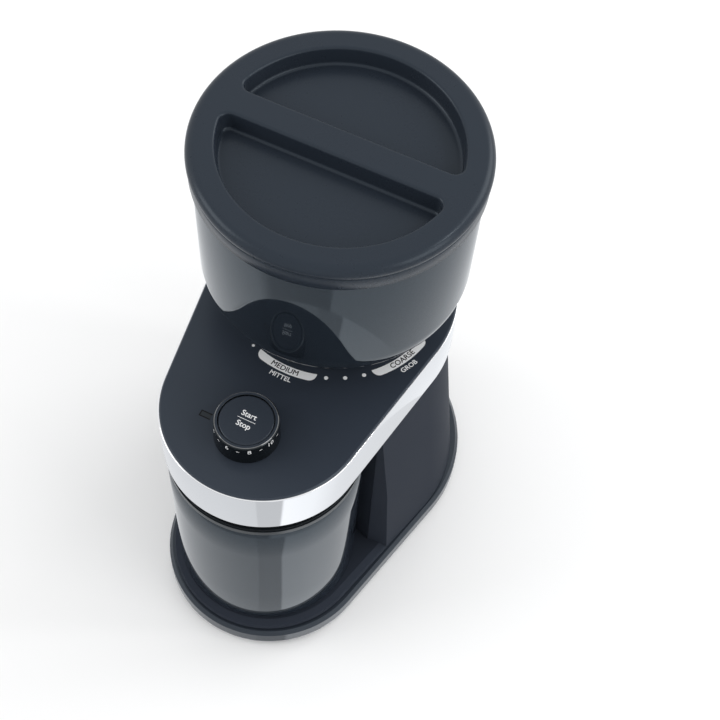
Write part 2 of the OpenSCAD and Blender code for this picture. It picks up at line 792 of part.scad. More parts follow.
// Bowl outline to the left of the axis, out = margin outwards.
module bowl_half(out = 0) {
  round_r = bowl_round + out;
  cx = bowl_r_low - bowl_round;
  cz = bowl_z + bowl_round;
  intersection() {
    union() {
      translate([cx, cz]) circle(round_r);
      polygon([
        [0, bowl_z - out], [cx, bowl_z - out], [cx, cz], [cx + round_r, cz],
        [bowl_r_top + out, bowl_top_z + 0.01 + (out < 0 ? 5 : 0)],
        [0, bowl_top_z + 0.01 + (out < 0 ? 5 : 0)]
      ]);
    }
    translate([0, bowl_z - 10]) square([200, 300]);
  }
}

module hopper_bowl() color(smoke) at_burr() difference() {
  rotate_extrude() difference() {
    bowl_half();
    bowl_half(-bowl_wall);
  }
  cylinder(r = bowl_hole_r, h = 300);
  for (a = [60, 180, 300]) rotate(a) translate([38, 0, 0]) cylinder(r = 1.7, h = 300);
}

// Inner funnel that feeds the neck.
module hopper_funnel() color(plastic) at_burr() rotate_extrude() polygon([
  [neck_r_in, bowl_z + 3.2], [neck_r_in + 2, bowl_z + 3.2], [66, bowl_z + 33],
  [69.6, bowl_z + 36], [69.6, bowl_z + 38], [65, bowl_z + 35.2], [neck_r_in, bowl_z + 6]
]);

// Base ring, neck and crown teeth of the hopper.
module hopper_neck() color(plastic) at_burr() {
  difference() {
    rotate_extrude() polygon([
      [ring_r - 3, ring_z], [ring_r - 0.6, ring_z], [ring_r, ring_z + 0.6],
      [ring_r, ring_z + 8], [ring_r - 2, ring_z + 10.5], [46, bowl_z],
      [bowl_hole_r - 0.2, bowl_z], [bowl_hole_r - 0.2, bowl_z + 3],
      [neck_r_in, bowl_z + 3], [neck_r_in, 168], [neck_tip_r_in, 158],
      [neck_tip_r_in, neck_tip_z], [neck_tip_r, neck_tip_z], [neck_tip_r, 156],
      [neck_r, 162], [neck_r, ring_z + 6], [ring_r - 3, ring_z + 6]
    ]);
    for (a = [60, 180, 300]) rotate(a) translate([38, 0, 0]) cylinder(r = 1.5, h = 300);
  }
  intersection() {
    ring(neck_tip_r, neck_tip_r_in, adjuster_top - 1.9, neck_tip_z + 0.2);
    for (i = [0 : crown_teeth - 1]) rotate((i + 0.5) * 360 / crown_teeth)
      translate([10, -1.2, 140]) cube([20, 2.4, 20]);
  }
  pointer();
}

// Pointer on the base ring that reads the scale.
module pointer() rotate(-90) translate([ring_r - 0.6, 0, ring_z + 1]) linear_extrude(5)
  polygon([[0, -3.4], [3.2, 0], [0, 3.4]]);

module hopper_screws() color(steel) at_burr() for (a = [60, 180, 300]) rotate(a)
  translate([38, 0, 0]) {
    translate([0, 0, ring_z + 4.2]) cylinder(r = 3, h = 1.8);
    translate([0, 0, ring_z + 6]) cylinder(r = 1.4, h = bowl_z - ring_z - 3.5);
  }

// Plan of the two D recesses, out = margin outwards.
module recess_plan(out = 0) offset(r = 5 + out, $fn = 48) offset(delta = -5) difference() {
  circle(recess_r);
  square([2 * recess_r + 10, bar_w], center = true);
}

module hopper_lid() color(plastic) at_burr() difference() {
  rotate_extrude() union() {
    translate([0, bowl_top_z + 1]) square([lid_r - lid_bead_r, lid_top_z - bowl_top_z - 1]);
    translate([lid_r - lid_bead_r, lid_top_z - lid_bead_r]) circle(lid_bead_r);
    translate([bowl_r_top + 0.4, bowl_top_z - 2.5]) square([1.4, 7.5]);
    translate([bowl_r_top - bowl_wall - 4, bowl_top_z - 5]) square([3, 8]);
  }
  translate([0, 0, lid_floor_z]) linear_extrude(50) recess_plan();
  translate([0, 0, bowl_top_z - 1]) linear_extrude(lid_top_z - bowl_top_z - 1.2) difference() {
    circle(bowl_r_top - bowl_wall - 4);
    recess_plan(2);
  }
}

module lid_seal() color(rubber) at_burr()
  ring(bowl_r_top - bowl_wall - 0.4, bowl_r_top - bowl_wall - 1, bowl_top_z - 4, bowl_top_z - 1);

// ---- grounds cup ----

module cup_half(r, z0, round_r, top) intersection() {
  union() {
    translate([r - round_r - 0.8, z0 + round_r]) circle(round_r);
    polygon([
      [0, z0], [r - round_r - 0.8, z0], [r - round_r - 0.8, z0 + round_r],
      [r - 0.8, z0 + round_r], [r, top], [0, top]
    ]);
  }
  translate([0, z0]) square([100, 300]);
}

module cup_body(r, z0, round_r, top, back_y) intersection() {
  at_cup() rotate_extrude() cup_half(r, z0, round_r, top);
  translate([-100, -200, 0]) cube([200, 200 + back_y, 300]);
}

module grounds_cup() color(smoke) difference() {
  cup_body(cup_r, cup_z, 6, cup_top, cup_back_y);
  cup_body(cup_r - cup_wall, cup_z + 2.6, 4, cup_top + 1, cup_back_y - cup_wall);
  translate([-window_w / 2 + 1, -30, window_z + 1]) cube([window_w - 2, 30, window_h - 2]);
}

module d_plan(r, back_y) intersection() {
  translate([0, cup_y]) circle(r);
  translate([-100, -200]) square([200, 200 + back_y]);
}

module cup_lid() color(plastic) {
  translate([0, 0, cup_top + 0.1]) linear_extrude(cup_lid_t - 0.9) d_plan(cup_r, cup_back_y);
  translate([0, 0, cup_top + cup_lid_t - 0.8]) linear_extrude(0.8) d_plan(cup_r - 1, cup_back_y - 1);
  translate([0, 0, cup_top - 4]) linear_extrude(4.1) difference() {
    d_plan(cup_r - cup_wall - 1.2, cup_back_y - cup_wall - 1.2);
    d_plan(cup_r - cup_wall - 3, cup_back_y - cup_wall - 3);
  }
}

module cup_seal() color(rubber) translate([0, 0, cup_top - 2.6]) linear_extrude(1.4) difference() {
  d_plan(cup_r - cup_wall - 0.4, cup_back_y - cup_wall - 0.4);
  d_plan(cup_r - cup_wall - 1.1, cup_back_y - cup_wall - 1.1);
}

base_tray();
rubber_feet();
base_screws();
body_shell();
niche_panel();
cord_grommet();
head_shell();
chrome_band();
top_plate();
plate_screws();
burr_chamber();
shaft_seal();
upper_bearing();
outlet_duct();
gearbox_cover();
gear_plate();
gear_standoffs();
gear_screws();
lower_bushing();
layshaft_pin();
motor_can();
motor_magnets();
motor_endcap();
control_board();
timer_encoder();
hopper_switch();
adjuster_ring();
adjuster_key();
ring_burr();
hopper_bowl();
hopper_funnel();
hopper_neck();
hopper_screws();
hopper_lid();
lid_seal();
burr_shaft();
cone_burr();
burr_nut();
impeller();
output_gear();
lay_wheel();
lay_pinion();
motor_rotor();
motor_pinion();
timer_dial();
button_spring();
start_button();
hopper_pin();
grounds_cup();
cup_lid();
cup_seal();
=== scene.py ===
"""Looks of a burr coffee grinder: finishes, printed scale, knob, hopper, cup and studio."""
import logging
import math
from dataclasses import dataclass
from enum import Enum

import bmesh
import bpy
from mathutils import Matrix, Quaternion, Vector


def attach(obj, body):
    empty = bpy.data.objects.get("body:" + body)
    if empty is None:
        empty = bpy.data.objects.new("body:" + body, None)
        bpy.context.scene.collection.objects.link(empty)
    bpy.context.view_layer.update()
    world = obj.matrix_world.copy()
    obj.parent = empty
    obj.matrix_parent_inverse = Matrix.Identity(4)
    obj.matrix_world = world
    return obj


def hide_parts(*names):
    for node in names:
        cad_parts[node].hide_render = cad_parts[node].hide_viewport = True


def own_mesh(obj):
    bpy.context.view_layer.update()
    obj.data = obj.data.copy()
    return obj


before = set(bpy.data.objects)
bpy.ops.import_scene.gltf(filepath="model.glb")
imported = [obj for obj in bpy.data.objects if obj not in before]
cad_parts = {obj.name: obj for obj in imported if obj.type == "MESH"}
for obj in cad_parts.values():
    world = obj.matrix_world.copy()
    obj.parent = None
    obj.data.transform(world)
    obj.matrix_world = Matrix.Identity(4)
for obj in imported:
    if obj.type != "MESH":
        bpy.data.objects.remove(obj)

LOG = logging.getLogger("grinder")
MM = 0.001
BURR = (0.0, 27 * MM)
CUP = (0.0, -58 * MM)
KNOB = (0.0, -77.6 * MM)
PLATE_TOP = 200 * MM
INK_GAP = 0.01 * MM
INK_THICK = 0.03 * MM
SAME_POINT = 1e-7
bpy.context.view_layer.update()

Point = tuple[float, float, float]
Plan = tuple[float, float]
Colour = tuple[float, float, float]
Face = tuple[int, ...]
Ring = list[Point]


class Grain(Enum):
    """Surface pattern of a finish."""

    SMOOTH = "smooth"
    MOULDED = "moulded"
    TURNED = "turned"
    BRUSHED = "brushed"
    WOVEN = "woven"


# ---------------------------------------------------------------- shader nodes


class Wire:
    """A value that runs through a shader tree; arithmetic on it adds Math nodes."""

    def __init__(self, tree: bpy.types.NodeTree, socket: bpy.types.NodeSocket) -> None:
        """Keeps the output socket that gives the value, and its tree."""
        self.tree = tree
        self.socket = socket

    def __add__(self, other: object) -> "Wire":
        """Adds a wire or a number."""
        return maths(self.tree, "ADD", self, other)

    def __sub__(self, other: object) -> "Wire":
        """Takes away a wire or a number."""
        return maths(self.tree, "SUBTRACT", self, other)

    def __mul__(self, other: object) -> "Wire":
        """Multiplies by a wire or a number."""
        return maths(self.tree, "MULTIPLY", self, other)

    def __rtruediv__(self, other: float) -> "Wire":
        """Divides a number by this value."""
        return maths(self.tree, "DIVIDE", other, self)


def fill(tree: bpy.types.NodeTree, node: bpy.types.Node, inputs: dict[str | int, object]) -> None:
    """Links or sets inputs of a node.

    Args:
        tree: Tree of the node.
        node: The node.
        inputs: Wire, socket or value of each input, by its name or number.
    """
    for name, value in inputs.items():
        source = value.socket if isinstance(value, Wire) else value
        if isinstance(source, bpy.types.NodeSocket):
            tree.links.new(source, node.inputs[name])
        else:
            node.inputs[name].default_value = source


def add_node(
    tree: bpy.types.NodeTree, kind: str, inputs: dict[str | int, object] | None = None
) -> bpy.types.Node:
    """Adds a shader node and fills its inputs.

    Args:
        tree: Tree to add to.
        kind: Type of the node, without its first word ShaderNode.
        inputs: Wire, socket or value of each input, by its name or number.

    Returns:
        The node.
    """
    node = tree.nodes.new(f"ShaderNode{kind}")
    fill(tree, node, inputs or {})
    return node


def maths(tree: bpy.types.NodeTree, operation: str, *values: object) -> Wire:
    """Adds a Math node.

    Args:
        tree: Tree to add to.
        operation: Operation of the node.
        *values: Wires, sockets or numbers for its inputs, in order.

    Returns:
        The result.
    """
    node = add_node(tree, "Math")
    node.operation = operation
    fill(tree, node, dict(enumerate(values)))
    return Wire(tree, node.outputs[0])


def vector_maths(
    tree: bpy.types.NodeTree, operation: str, inputs: dict[str | int, object]
) -> Wire:
    """Adds a Vector Math node.

    Args:
        tree: Tree to add to.
        operation: Operation of the node.
        inputs: Wire, socket or value of each input, by its name or number.

    Returns:
        The result.
    """
    node = add_node(tree, "VectorMath")
    node.operation = operation
    fill(tree, node, inputs)
    return Wire(tree, node.outputs[0])


def noise(where: Wire, scale: Wire, detail: float = 3.0, rough: float = 0.5) -> Wire:
    """Adds a Noise Texture node.

    Args:
        where: Coordinates.
        scale: Scale of the noise, per metre.
        detail: Octaves of the noise.
        rough: Share of the finer octaves.

    Returns:
        The noise value.
    """
    settings = {"Vector": where, "Scale": scale, "Detail": detail, "Roughness": rough}
    return Wire(where.tree, add_node(where.tree, "TexNoise", settings).outputs["Fac"])


def axes(where: Wire) -> list[Wire]:
    """Splits coordinates into X, Y and Z."""
    node = add_node(where.tree, "SeparateXYZ", {0: where})
    return [Wire(where.tree, part) for part in node.outputs]


def squared(x: Wire, y: Wire, axis: tuple[object, object]) -> Wire:
    """Gives the squared distance of X and Y from an upright axis."""
    dx = x - axis[0]
    dy = y - axis[1]
    return dx * dx + dy * dy


class NodeKit:
    """Shader node groups that several finishes share, each built once."""

    height_inputs: tuple[tuple[str, str, object], ...] = (
        ("Vector", "Vector", None), ("Pitch", "Float", 0.4 * MM), ("Axis X", "Float", 0.0),
        ("Axis Y", "Float", 0.0),
    )

    def __init__(self) -> None:
        """Starts with no groups built."""
        self.built: dict[str, bpy.types.NodeTree] = {}

    @staticmethod
    def new_group(
        name: str, inputs: tuple[tuple[str, str, object], ...], outputs: tuple[tuple[str, str], ...]
    ) -> tuple[bpy.types.NodeTree, dict[str, Wire], bpy.types.Node]:
        """Makes an empty group with named sockets.

        Args:
            name: Name of the group.
            inputs: Socket name, socket type and default value of each input.
            outputs: Socket name and socket type of each output.

        Returns:
            The group, the wire that each input gives, and the output node.
        """
        tree = bpy.data.node_groups.new(name, "ShaderNodeTree")
        for socket, kind, value in inputs:
            made = tree.interface.new_socket(
                socket, in_out="INPUT", socket_type=f"NodeSocket{kind}")
            if value is not None:
                made.default_value = value
        for socket, kind in outputs:
            tree.interface.new_socket(socket, in_out="OUTPUT", socket_type=f"NodeSocket{kind}")
        start = tree.nodes.new("NodeGroupInput")
        given = {socket: Wire(tree, start.outputs[socket]) for socket, _, _ in inputs}
        return tree, given, tree.nodes.new("NodeGroupOutput")

    def group(self, name: str) -> bpy.types.NodeTree:
        """Gives the named group, built the first time it is asked for.

        Args:
            name: Handled, or the value of a Grain.

        Returns:
            The node group.
        """
        if name not in self.built:
            self.built[name] = self.handled() if name == "handled" else self.pattern(name)
        return self.built[name]

    def handled(self) -> bpy.types.NodeTree:
        """Cloudy change of shade and gloss that use leaves on a surface.

        Returns:
            Group with a colour and a roughness output.
        """
        tree, given, end = self.new_group(
            "handled_surface",
            (
                ("Vector", "Vector", None), ("Colour", "Color", None),
                ("Shade Spread", "Float", 0.05), ("Roughness", "Float", 0.4),
                ("Roughness Spread", "Float", 0.05), ("Patch Scale", "Float", 22.0),
            ),
            (("Colour", "Color"), ("Roughness", "Float")),
        )
        cloud_share, fine_share, finer, least_rough = 0.65, 0.35, 14.0, 0.02
        cloud = noise(given["Vector"], given["Patch Scale"], detail=4.0, rough=0.6)
        fine = noise(given["Vector"], given["Patch Scale"] * finer, detail=3.0, rough=0.6)
        swing = (cloud * cloud_share + fine * fine_share) * 2.0 - 1.0
        shade = swing * given["Shade Spread"] + 1.0
        gloss = given["Roughness"] + swing * given["Roughness Spread"]
        fill(tree, end, {
            "Colour": vector_maths(tree, "SCALE", {0: given["Colour"], "Scale": shade}),
            "Roughness": maths(tree, "MAXIMUM", gloss, least_rough),
        })
        return tree

    def pattern(self, name: str) -> bpy.types.NodeTree:
        """Surface pattern of a grain, as a height.

        Args:
            name: Value of the Grain.

        Returns:
            Group with a height output.
        """
        makers = {
            Grain.MOULDED.value: self.moulded, Grain.TURNED.value: self.turned,
            Grain.BRUSHED.value: self.brushed, Grain.WOVEN.value: self.woven,
        }
        tree, given, end = self.new_group(
            f"{name}_pattern", self.height_inputs, (("Height", "Float"),))
        fill(tree, end, {"Height": makers[name](tree, given)})
        return tree

    @staticmethod
    def moulded(tree: bpy.types.NodeTree, given: dict[str, Wire]) -> Wire:
        """Fine spark-eroded grain of a moulded plastic.

        Args:
            tree: Tree of the group.
            given: Wire of each input.

        Returns:
            The height.
        """
        cell_share, soft_share, coarser = 0.6, 0.6, 0.45
        scale = 1.0 / given["Pitch"]
        cells = add_node(tree, "TexVoronoi")
        cells.feature = "SMOOTH_F1"
        fill(tree, cells, {"Vector": given["Vector"], "Scale": scale})
        soft = noise(given["Vector"], scale * coarser)
        return Wire(tree, cells.outputs["Distance"]) * cell_share + soft * soft_share

    @staticmethod
    def turned(tree: bpy.types.NodeTree, given: dict[str, Wire]) -> Wire:
        """Concentric tool lines round an upright axis.

        Args:
            tree: Tree of the group.
            given: Wire of each input.

        Returns:
            The height.
        """
        x, y, z = axes(given["Vector"])
        radius = maths(tree, "SQRT", squared(x, y, (given["Axis X"], given["Axis Y"])))
        join = add_node(tree, "CombineXYZ", {"X": radius, "Y": z})
        where = Wire(tree, join.outputs[0])
        return noise(where, 1.0 / given["Pitch"], detail=2.0, rough=0.7)

    @staticmethod
    def brushed(tree: bpy.types.NodeTree, given: dict[str, Wire]) -> Wire:
        """Fine upright brush lines.

        Args:
            tree: Tree of the group.
            given: Wire of each input.

        Returns:
            The height.
        """
        stretch = (1.0, 1.0, 0.04)
        drawn_out = vector_maths(tree, "MULTIPLY", {0: given["Vector"], 1: stretch})
        return noise(drawn_out, 1.0 / given["Pitch"], detail=3.0, rough=0.7)

    @staticmethod
    def woven(tree: bpy.types.NodeTree, given: dict[str, Wire]) -> Wire:
        """Glass cloth that shows through a circuit board.

        Args:
            tree: Tree of the group.
            given: Wire of each input.

        Returns:
            The height.
        """
        x, y, _ = axes(given["Vector"])
        turn = (2 * math.pi) / given["Pitch"]
        return maths(tree, "SINE", x * turn) * maths(tree, "SINE", y * turn)


KIT = NodeKit()


# ---------------------------------------------------------------- finishes


@dataclass(frozen=True)
class Finish:
    """One finish: colour, gloss and surface pattern.

    Args:
        name: Name of the material.
        slot: Material slot of the record; empty for the studio's own finish. Not used.
        colour: Linear base colour.
        roughness: Mean roughness.
        metallic: 1 for bare metal.
        specular: Specular IOR level.
        coat: Weight of a clear top layer.
        transmission: Weight of light let through.
        ior: Index of refraction.
        shade_spread: How far the shade wanders.
        rough_spread: How far the roughness wanders.
        patch_scale: Scale of the wandering, per metre.
        grain: Surface pattern.
        pitch: Size of the pattern, in metres.
        depth: Height of the pattern, in metres.
        axis: Plan position that turned lines run round.
        sheen: Tint of the reflection seen straight on.
        coat_roughness: Roughness of the clear top layer.
    """

    name: str
    slot: str
    colour: Colour
    roughness: float
    metallic: float = 0.0
    specular: float = 0.5
    coat: float = 0.0
    transmission: float = 0.0
    ior: float = 1.5
    shade_spread: float = 0.06
    rough_spread: float = 0.05
    patch_scale: float = 22.0
    grain: Grain = Grain.SMOOTH
    pitch: float = 0.0004
    depth: float = 0.00002
    axis: Plan = (0.0, 0.0)
    sheen: Colour = (1.0, 1.0, 1.0)
    coat_roughness: float = 0.08

    def material(self) -> bpy.types.Material:
        """Gives the material of this finish, built the first time.

        Returns:
            The material.
        """
        known = bpy.data.materials.get(self.name)
        if known is not None:
            return known
        made = bpy.data.materials.new(self.name)
        made.use_nodes = True
        tree = made.node_tree
        shader = next(n for n in tree.nodes if n.type == "BSDF_PRINCIPLED")
        where = Wire(tree, add_node(tree, "TexCoord").outputs["Object"])
        self.dress_colour(tree, shader, where)
        if self.grain is not Grain.SMOOTH:
            self.dress_height(tree, shader, where)
        fill(tree, shader, {
            "Metallic": self.metallic,
            "Specular IOR Level": self.specular,
            "Specular Tint": (*self.sheen, 1.0),
            "Coat Weight": self.coat,
            "Coat Roughness": self.coat_roughness,
            "Transmission Weight": self.transmission,
            "IOR": self.ior,
        })
        return made

    def dress_colour(
        self, tree: bpy.types.NodeTree, shader: bpy.types.Node, where: Wire
    ) -> None:
        """Feeds the shader's colour and roughness through the handled-surface group.

        Args:
            tree: Node tree of the material.
            shader: Principled shader.
            where: Object coordinates.
        """
        handled = add_node(tree, "Group")
        handled.node_tree = KIT.group("handled")
        fill(tree, handled, {
            "Colour": (*self.colour, 1.0),
            "Shade Spread": self.shade_spread,
            "Roughness": self.roughness,
            "Roughness Spread": self.rough_spread,
            "Patch Scale": self.patch_scale,
            "Vector": where,
        })
        fill(tree, shader, {
            "Base Color": handled.outputs["Colour"],
            "Roughness": handled.outputs["Roughness"],
        })

    def dress_height(
        self, tree: bpy.types.NodeTree, shader: bpy.types.Node, where: Wire
    ) -> None:
        """Feeds the surface pattern through a Bump node to the shader's normal.

        Args:
            tree: Node tree of the material.
            shader: Principled shader.
            where: Object coordinates.
        """
        pattern = add_node(tree, "Group")
        pattern.node_tree = KIT.group(self.grain.value)
        fill(tree, pattern, {
            "Pitch": self.pitch, "Axis X": self.axis[0], "Axis Y": self.axis[1], "Vector": where,
        })
        bump = add_node(tree, "Bump", {
            "Strength": 1.0, "Distance": self.depth, "Height": pattern.outputs["Height"],
        })
        fill(tree, shader, {"Normal": bump.outputs["Normal"]})


@dataclass(frozen=True)
class RibbedFinish(Finish):
    """A bore's finish, paler on the crests of the ribs that stand in it.

    Args:
        crest: Radius inside which a rib's crest lies, in metres.
        foot: Height where the ribs start.
        top: Height where they end.
        crest_colour: Colour added to the plain one on the crests of the ribs, inside the crest
            radius between foot and top.
    """

    crest: float = 0.029
    foot: float = 0.155
    top: float = 0.175
    crest_colour: Colour = (0.42, 0.44, 0.47)

    def dress_colour(
        self, tree: bpy.types.NodeTree, shader: bpy.types.Node, where: Wire
    ) -> None:
        """Adds the crests' colour to the plain finish.

        Args:
            tree: Node tree of the material.
            shader: Principled shader.
            where: Object coordinates.
        """
        super().dress_colour(tree, shader, where)
        plain = shader.inputs["Base Color"].links[0].from_socket
        x, y, z = axes(where)
        inside = maths(tree, "LESS_THAN", squared(x, y, self.axis), self.crest ** 2)
        above = maths(tree, "GREATER_THAN", z, self.foot)
        below = maths(tree, "LESS_THAN", z, self.top)
        mask = inside * (above * below)
        paler = vector_maths(tree, "SCALE", {0: self.crest_colour, "Scale": mask})
        fill(tree, shader, {"Base Color": vector_maths(tree, "ADD", {0: plain, 1: paler})})


# Blue tint given to the reflections of the plastics while lamps and sky are white: painted cool
# reflection.
COOL_REFLECTION_TINT: Colour = (0.80, 0.91, 1.0)

PLATE = Finish(
    "plate_satin", "head_plastic", (0.027, 0.034, 0.047), 0.30, specular=0.32, shade_spread=0.05,
    rough_spread=0.03, grain=Grain.MOULDED, pitch=0.00035, depth=0.000004, sheen=COOL_REFLECTION_TINT,
)
BODY = Finish(
    "body_satin", "body_plastic", (0.026, 0.031, 0.042), 0.48, specular=0.05, ior=1.25,
    grain=Grain.MOULDED, pitch=0.0004, depth=0.000006, sheen=COOL_REFLECTION_TINT,
)
TRAY = Finish(
    "tray_satin", "body_plastic", (0.020, 0.025, 0.034), 0.24, specular=0.45, grain=Grain.MOULDED,
    pitch=0.0004, depth=0.000005, sheen=COOL_REFLECTION_TINT,
)
LID = Finish(
    "lid_satin", "lid_plastic", (0.018, 0.024, 0.034), 0.28, specular=0.26, grain=Grain.MOULDED,
    pitch=0.00045, depth=0.000005, sheen=COOL_REFLECTION_TINT,
)
GLOSS_BLACK = Finish(
    "dial_gloss", "gloss_black", (0.003, 0.004, 0.005), 0.10, specular=0.36, shade_spread=0.03,
    rough_spread=0.02, sheen=COOL_REFLECTION_TINT,
)
# Glossy line on the dial's top edge: its colour, much lighter than the dial's, is a painted
# highlight, along with real gloss.
EDGE_GLOSS_PAINTED_HIGHLIGHT = Finish(
    "edge_gloss_painted_highlight", "gloss_black", (0.07, 0.075, 0.08), 0.12, specular=1.0, coat=1.0,
    shade_spread=0.03, rough_spread=0.02,
)
DIAL_SATIN = Finish(
    "dial_satin", "gloss_black", (0.023, 0.029, 0.040), 0.32, specular=0.32, shade_spread=0.04,
    rough_spread=0.03, grain=Grain.MOULDED, pitch=0.00035, depth=0.000003, sheen=COOL_REFLECTION_TINT,
)
SCREW_BLACK = Finish(
    "screw_black", "gloss_black", (0.002, 0.002, 0.003), 0.11, specular=0.14, shade_spread=0.03,
    rough_spread=0.02, sheen=COOL_REFLECTION_TINT,
)
SATIN_BLACK = Finish(
    "satin_black", "gloss_black", (0.010, 0.012, 0.014), 0.30, grain=Grain.MOULDED, pitch=0.0003,
    depth=0.000003, sheen=COOL_REFLECTION_TINT,
)
CHAMBER = RibbedFinish(
    "chamber_gloss", "head_plastic", (0.008, 0.012, 0.018), 0.17, specular=0.36,
    rough_spread=0.04, grain=Grain.TURNED, pitch=0.0012, depth=0.000004, axis=BURR, sheen=COOL_REFLECTION_TINT,
)
# The smoke's reflections get a stronger blue tint: painted cool reflection.
SMOKE = Finish(
    "smoke_clear", "smoke_plastic", (0.011, 0.015, 0.021), 0.04, transmission=0.10, ior=1.52,
    specular=0.62, shade_spread=0.01, rough_spread=0.0, sheen=(0.66, 0.85, 1.0),
)
CHROME = Finish(
    "band_chrome", "chrome", (0.82, 0.83, 0.85), 0.07, metallic=1.0, shade_spread=0.01,
    rough_spread=0.015, grain=Grain.BRUSHED, pitch=0.0005, depth=0.0000006,
)
BURR_STEEL = Finish(
    "burr_steel", "steel", (0.62, 0.63, 0.65), 0.24, metallic=1.0, shade_spread=0.05,
    rough_spread=0.06, grain=Grain.TURNED, pitch=0.0005, depth=0.000006, axis=BURR,
)
ADJUSTER_STEEL = Finish(
    "adjuster_steel", "steel", (0.82, 0.84, 0.87), 0.40, metallic=1.0, shade_spread=0.04,
    rough_spread=0.05, grain=Grain.TURNED, pitch=0.0006, depth=0.000005, axis=BURR,
)
KEY_BRIGHT = Finish(
    "key_bright", "chrome", (0.90, 0.91, 0.93), 0.42, metallic=1.0, shade_spread=0.02,
    grain=Grain.BRUSHED, pitch=0.0004, depth=0.000003,
)
# Steel of the hopper pin, about half as light as the other steel: painted shade for the pin in its
# dark recess.
PIN_STEEL_PAINTED_SHADE = Finish(
    "pin_steel_painted_shade", "steel", (0.30, 0.31, 0.33), 0.38, metallic=1.0, grain=Grain.TURNED,
    pitch=0.0003, depth=0.000003,
)
SHAFT_STEEL = Finish(
    "shaft_steel", "steel", (0.60, 0.61, 0.63), 0.22, metallic=1.0, grain=Grain.BRUSHED,
    pitch=0.0005, depth=0.000004,
)
ZINC = Finish(
    "zinc_plate", "zinc", (0.52, 0.54, 0.56), 0.32, metallic=1.0, shade_spread=0.10,
    rough_spread=0.08, patch_scale=60.0, grain=Grain.BRUSHED, pitch=0.0009, depth=0.000005,
)
BRASS = Finish(
    "turned_brass", "brass", (0.70, 0.50, 0.22), 0.28, metallic=1.0, grain=Grain.TURNED,
    pitch=0.0004, depth=0.000005, axis=BURR,
)
RUBBER = Finish(
    "soft_rubber", "rubber", (0.012, 0.012, 0.013), 0.62, specular=0.35, grain=Grain.MOULDED,
    pitch=0.0005, depth=0.00001,
)
NYLON = Finish(
    "gear_nylon", "nylon", (0.66, 0.63, 0.55), 0.42, grain=Grain.MOULDED, pitch=0.0006,
    depth=0.000008,
)
BOARD = Finish(
    "board_green", "board", (0.018, 0.11, 0.05), 0.30, coat=0.4, grain=Grain.WOVEN, pitch=0.0011,
    depth=0.00001,
)
MAGNET = Finish(
    "magnet_ferrite", "magnet", (0.045, 0.045, 0.05), 0.55, grain=Grain.MOULDED, pitch=0.0005,
    depth=0.000012,
)
INK_WHITE = Finish(
    "ink_white", "gloss_black", (0.84, 0.85, 0.86), 0.45, shade_spread=0.02, grain=Grain.MOULDED,
    pitch=0.0003, depth=0.000002,
)
INK_BLACK = Finish(
    "ink_black", "gloss_black", (0.004, 0.004, 0.005), 0.55, specular=0.15, shade_spread=0.02,
    grain=Grain.MOULDED, pitch=0.0003, depth=0.000002,
)
SHEET = Finish(
    "studio_sheet", "", (0.965, 0.968, 0.97), 0.22,
    shade_spread=0.01, rough_spread=0.03, patch_scale=2.0,
)


# ---------------------------------------------------------------- mesh making


def around(centre: Plan, radius: float, angle: float, level: float) -> Point:
    """Gives the point at a radius and an angle in radians round an upright axis."""
    return centre[0] + radius * math.cos(angle), centre[1] + radius * math.sin(angle), level


def arc(centre: Plan, radius: float, first: float, last: float, steps: int) -> list[Plan]:
    """Gives evenly spaced points on an arc.

    Args:
        centre: Middle of the arc.
        radius: Its radius.
        first: Angle where it starts, in degrees.
        last: Angle where it ends.
        steps: Number of spaces between the points.

    Returns:
        The points, both ends among them.
    """
    angles = [math.radians(first + (last - first) * i / steps) for i in range(steps + 1)]
    return [around(centre, radius, angle, 0.0)[:2] for angle in angles]


def circle(centre: Plan, radius: float, level: float, steps: int) -> Ring:
    """Gives a level circle of evenly spaced points."""
    return [around(centre, radius, 2 * math.pi * i / steps, level) for i in range(steps)]


def rectangle(left: float, right: float, low: float, high: float) -> list[Plan]:
    """Gives the four corners of a rectangle in order."""
    return [(left, low), (right, low), (right, high), (left, high)]


def turned_form(profile: list[Plan], axis: Plan, steps: int) -> list[Ring]:
    """Gives the circle that each corner of a profile makes round an upright axis."""
    return [circle(axis, radius, level, steps) for radius, level in profile]


def slab(outline: Ring, lift: Point, start: int = 0) -> tuple[list[Point], list[Face]]:
    """Closes an outline and its lifted copy into a slab.

    Args:
        outline: Corners of the lower face, in order.
        lift: Shift from the lower face to the upper one.
        start: Number of the first corner.

    Returns:
        The points and the faces.
    """
    count = len(outline)
    top = [tuple(a + b for a, b in zip(point, lift)) for point in outline]
    low = range(start, start + count)
    faces = [tuple(reversed(low)), tuple(i + count for i in low)]
    for i in range(count):
        here, after = low[i], low[(i + 1) % count]
        faces.append((here, after, after + count, here + count))
    return outline + top, faces


def wrap(work: bmesh.types.BMesh, rings: list[Ring]) -> list[list[bmesh.types.BMVert]]:
    """Adds a row of faces between each outline and the next.

    Args:
        work: Working mesh to add to.
        rings: Outlines of as many points each.

    Returns:
        The corners of each outline.
    """
    lines = [[work.verts.new(point) for point in ring] for ring in rings]
    for low, high in zip(lines, lines[1:]):
        for i, corner in enumerate(low):
            work.faces.new((low[i - 1], corner, high[i], high[i - 1]))
    return lines


def place(name: str, data: bpy.types.ID) -> bpy.types.Object:
    """Makes an object of its data and puts it in the scene."""
    made = bpy.data.objects.new(name, data)
    bpy.context.scene.collection.objects.link(made)
    return made


def evaluated(shown: bpy.types.Object) -> bpy.types.Mesh:
    """Gives a new mesh of an object as its modifiers leave it."""
    bpy.context.view_layer.update()
    graph = bpy.context.evaluated_depsgraph_get()
    return bpy.data.meshes.new_from_object(shown.evaluated_get(graph))


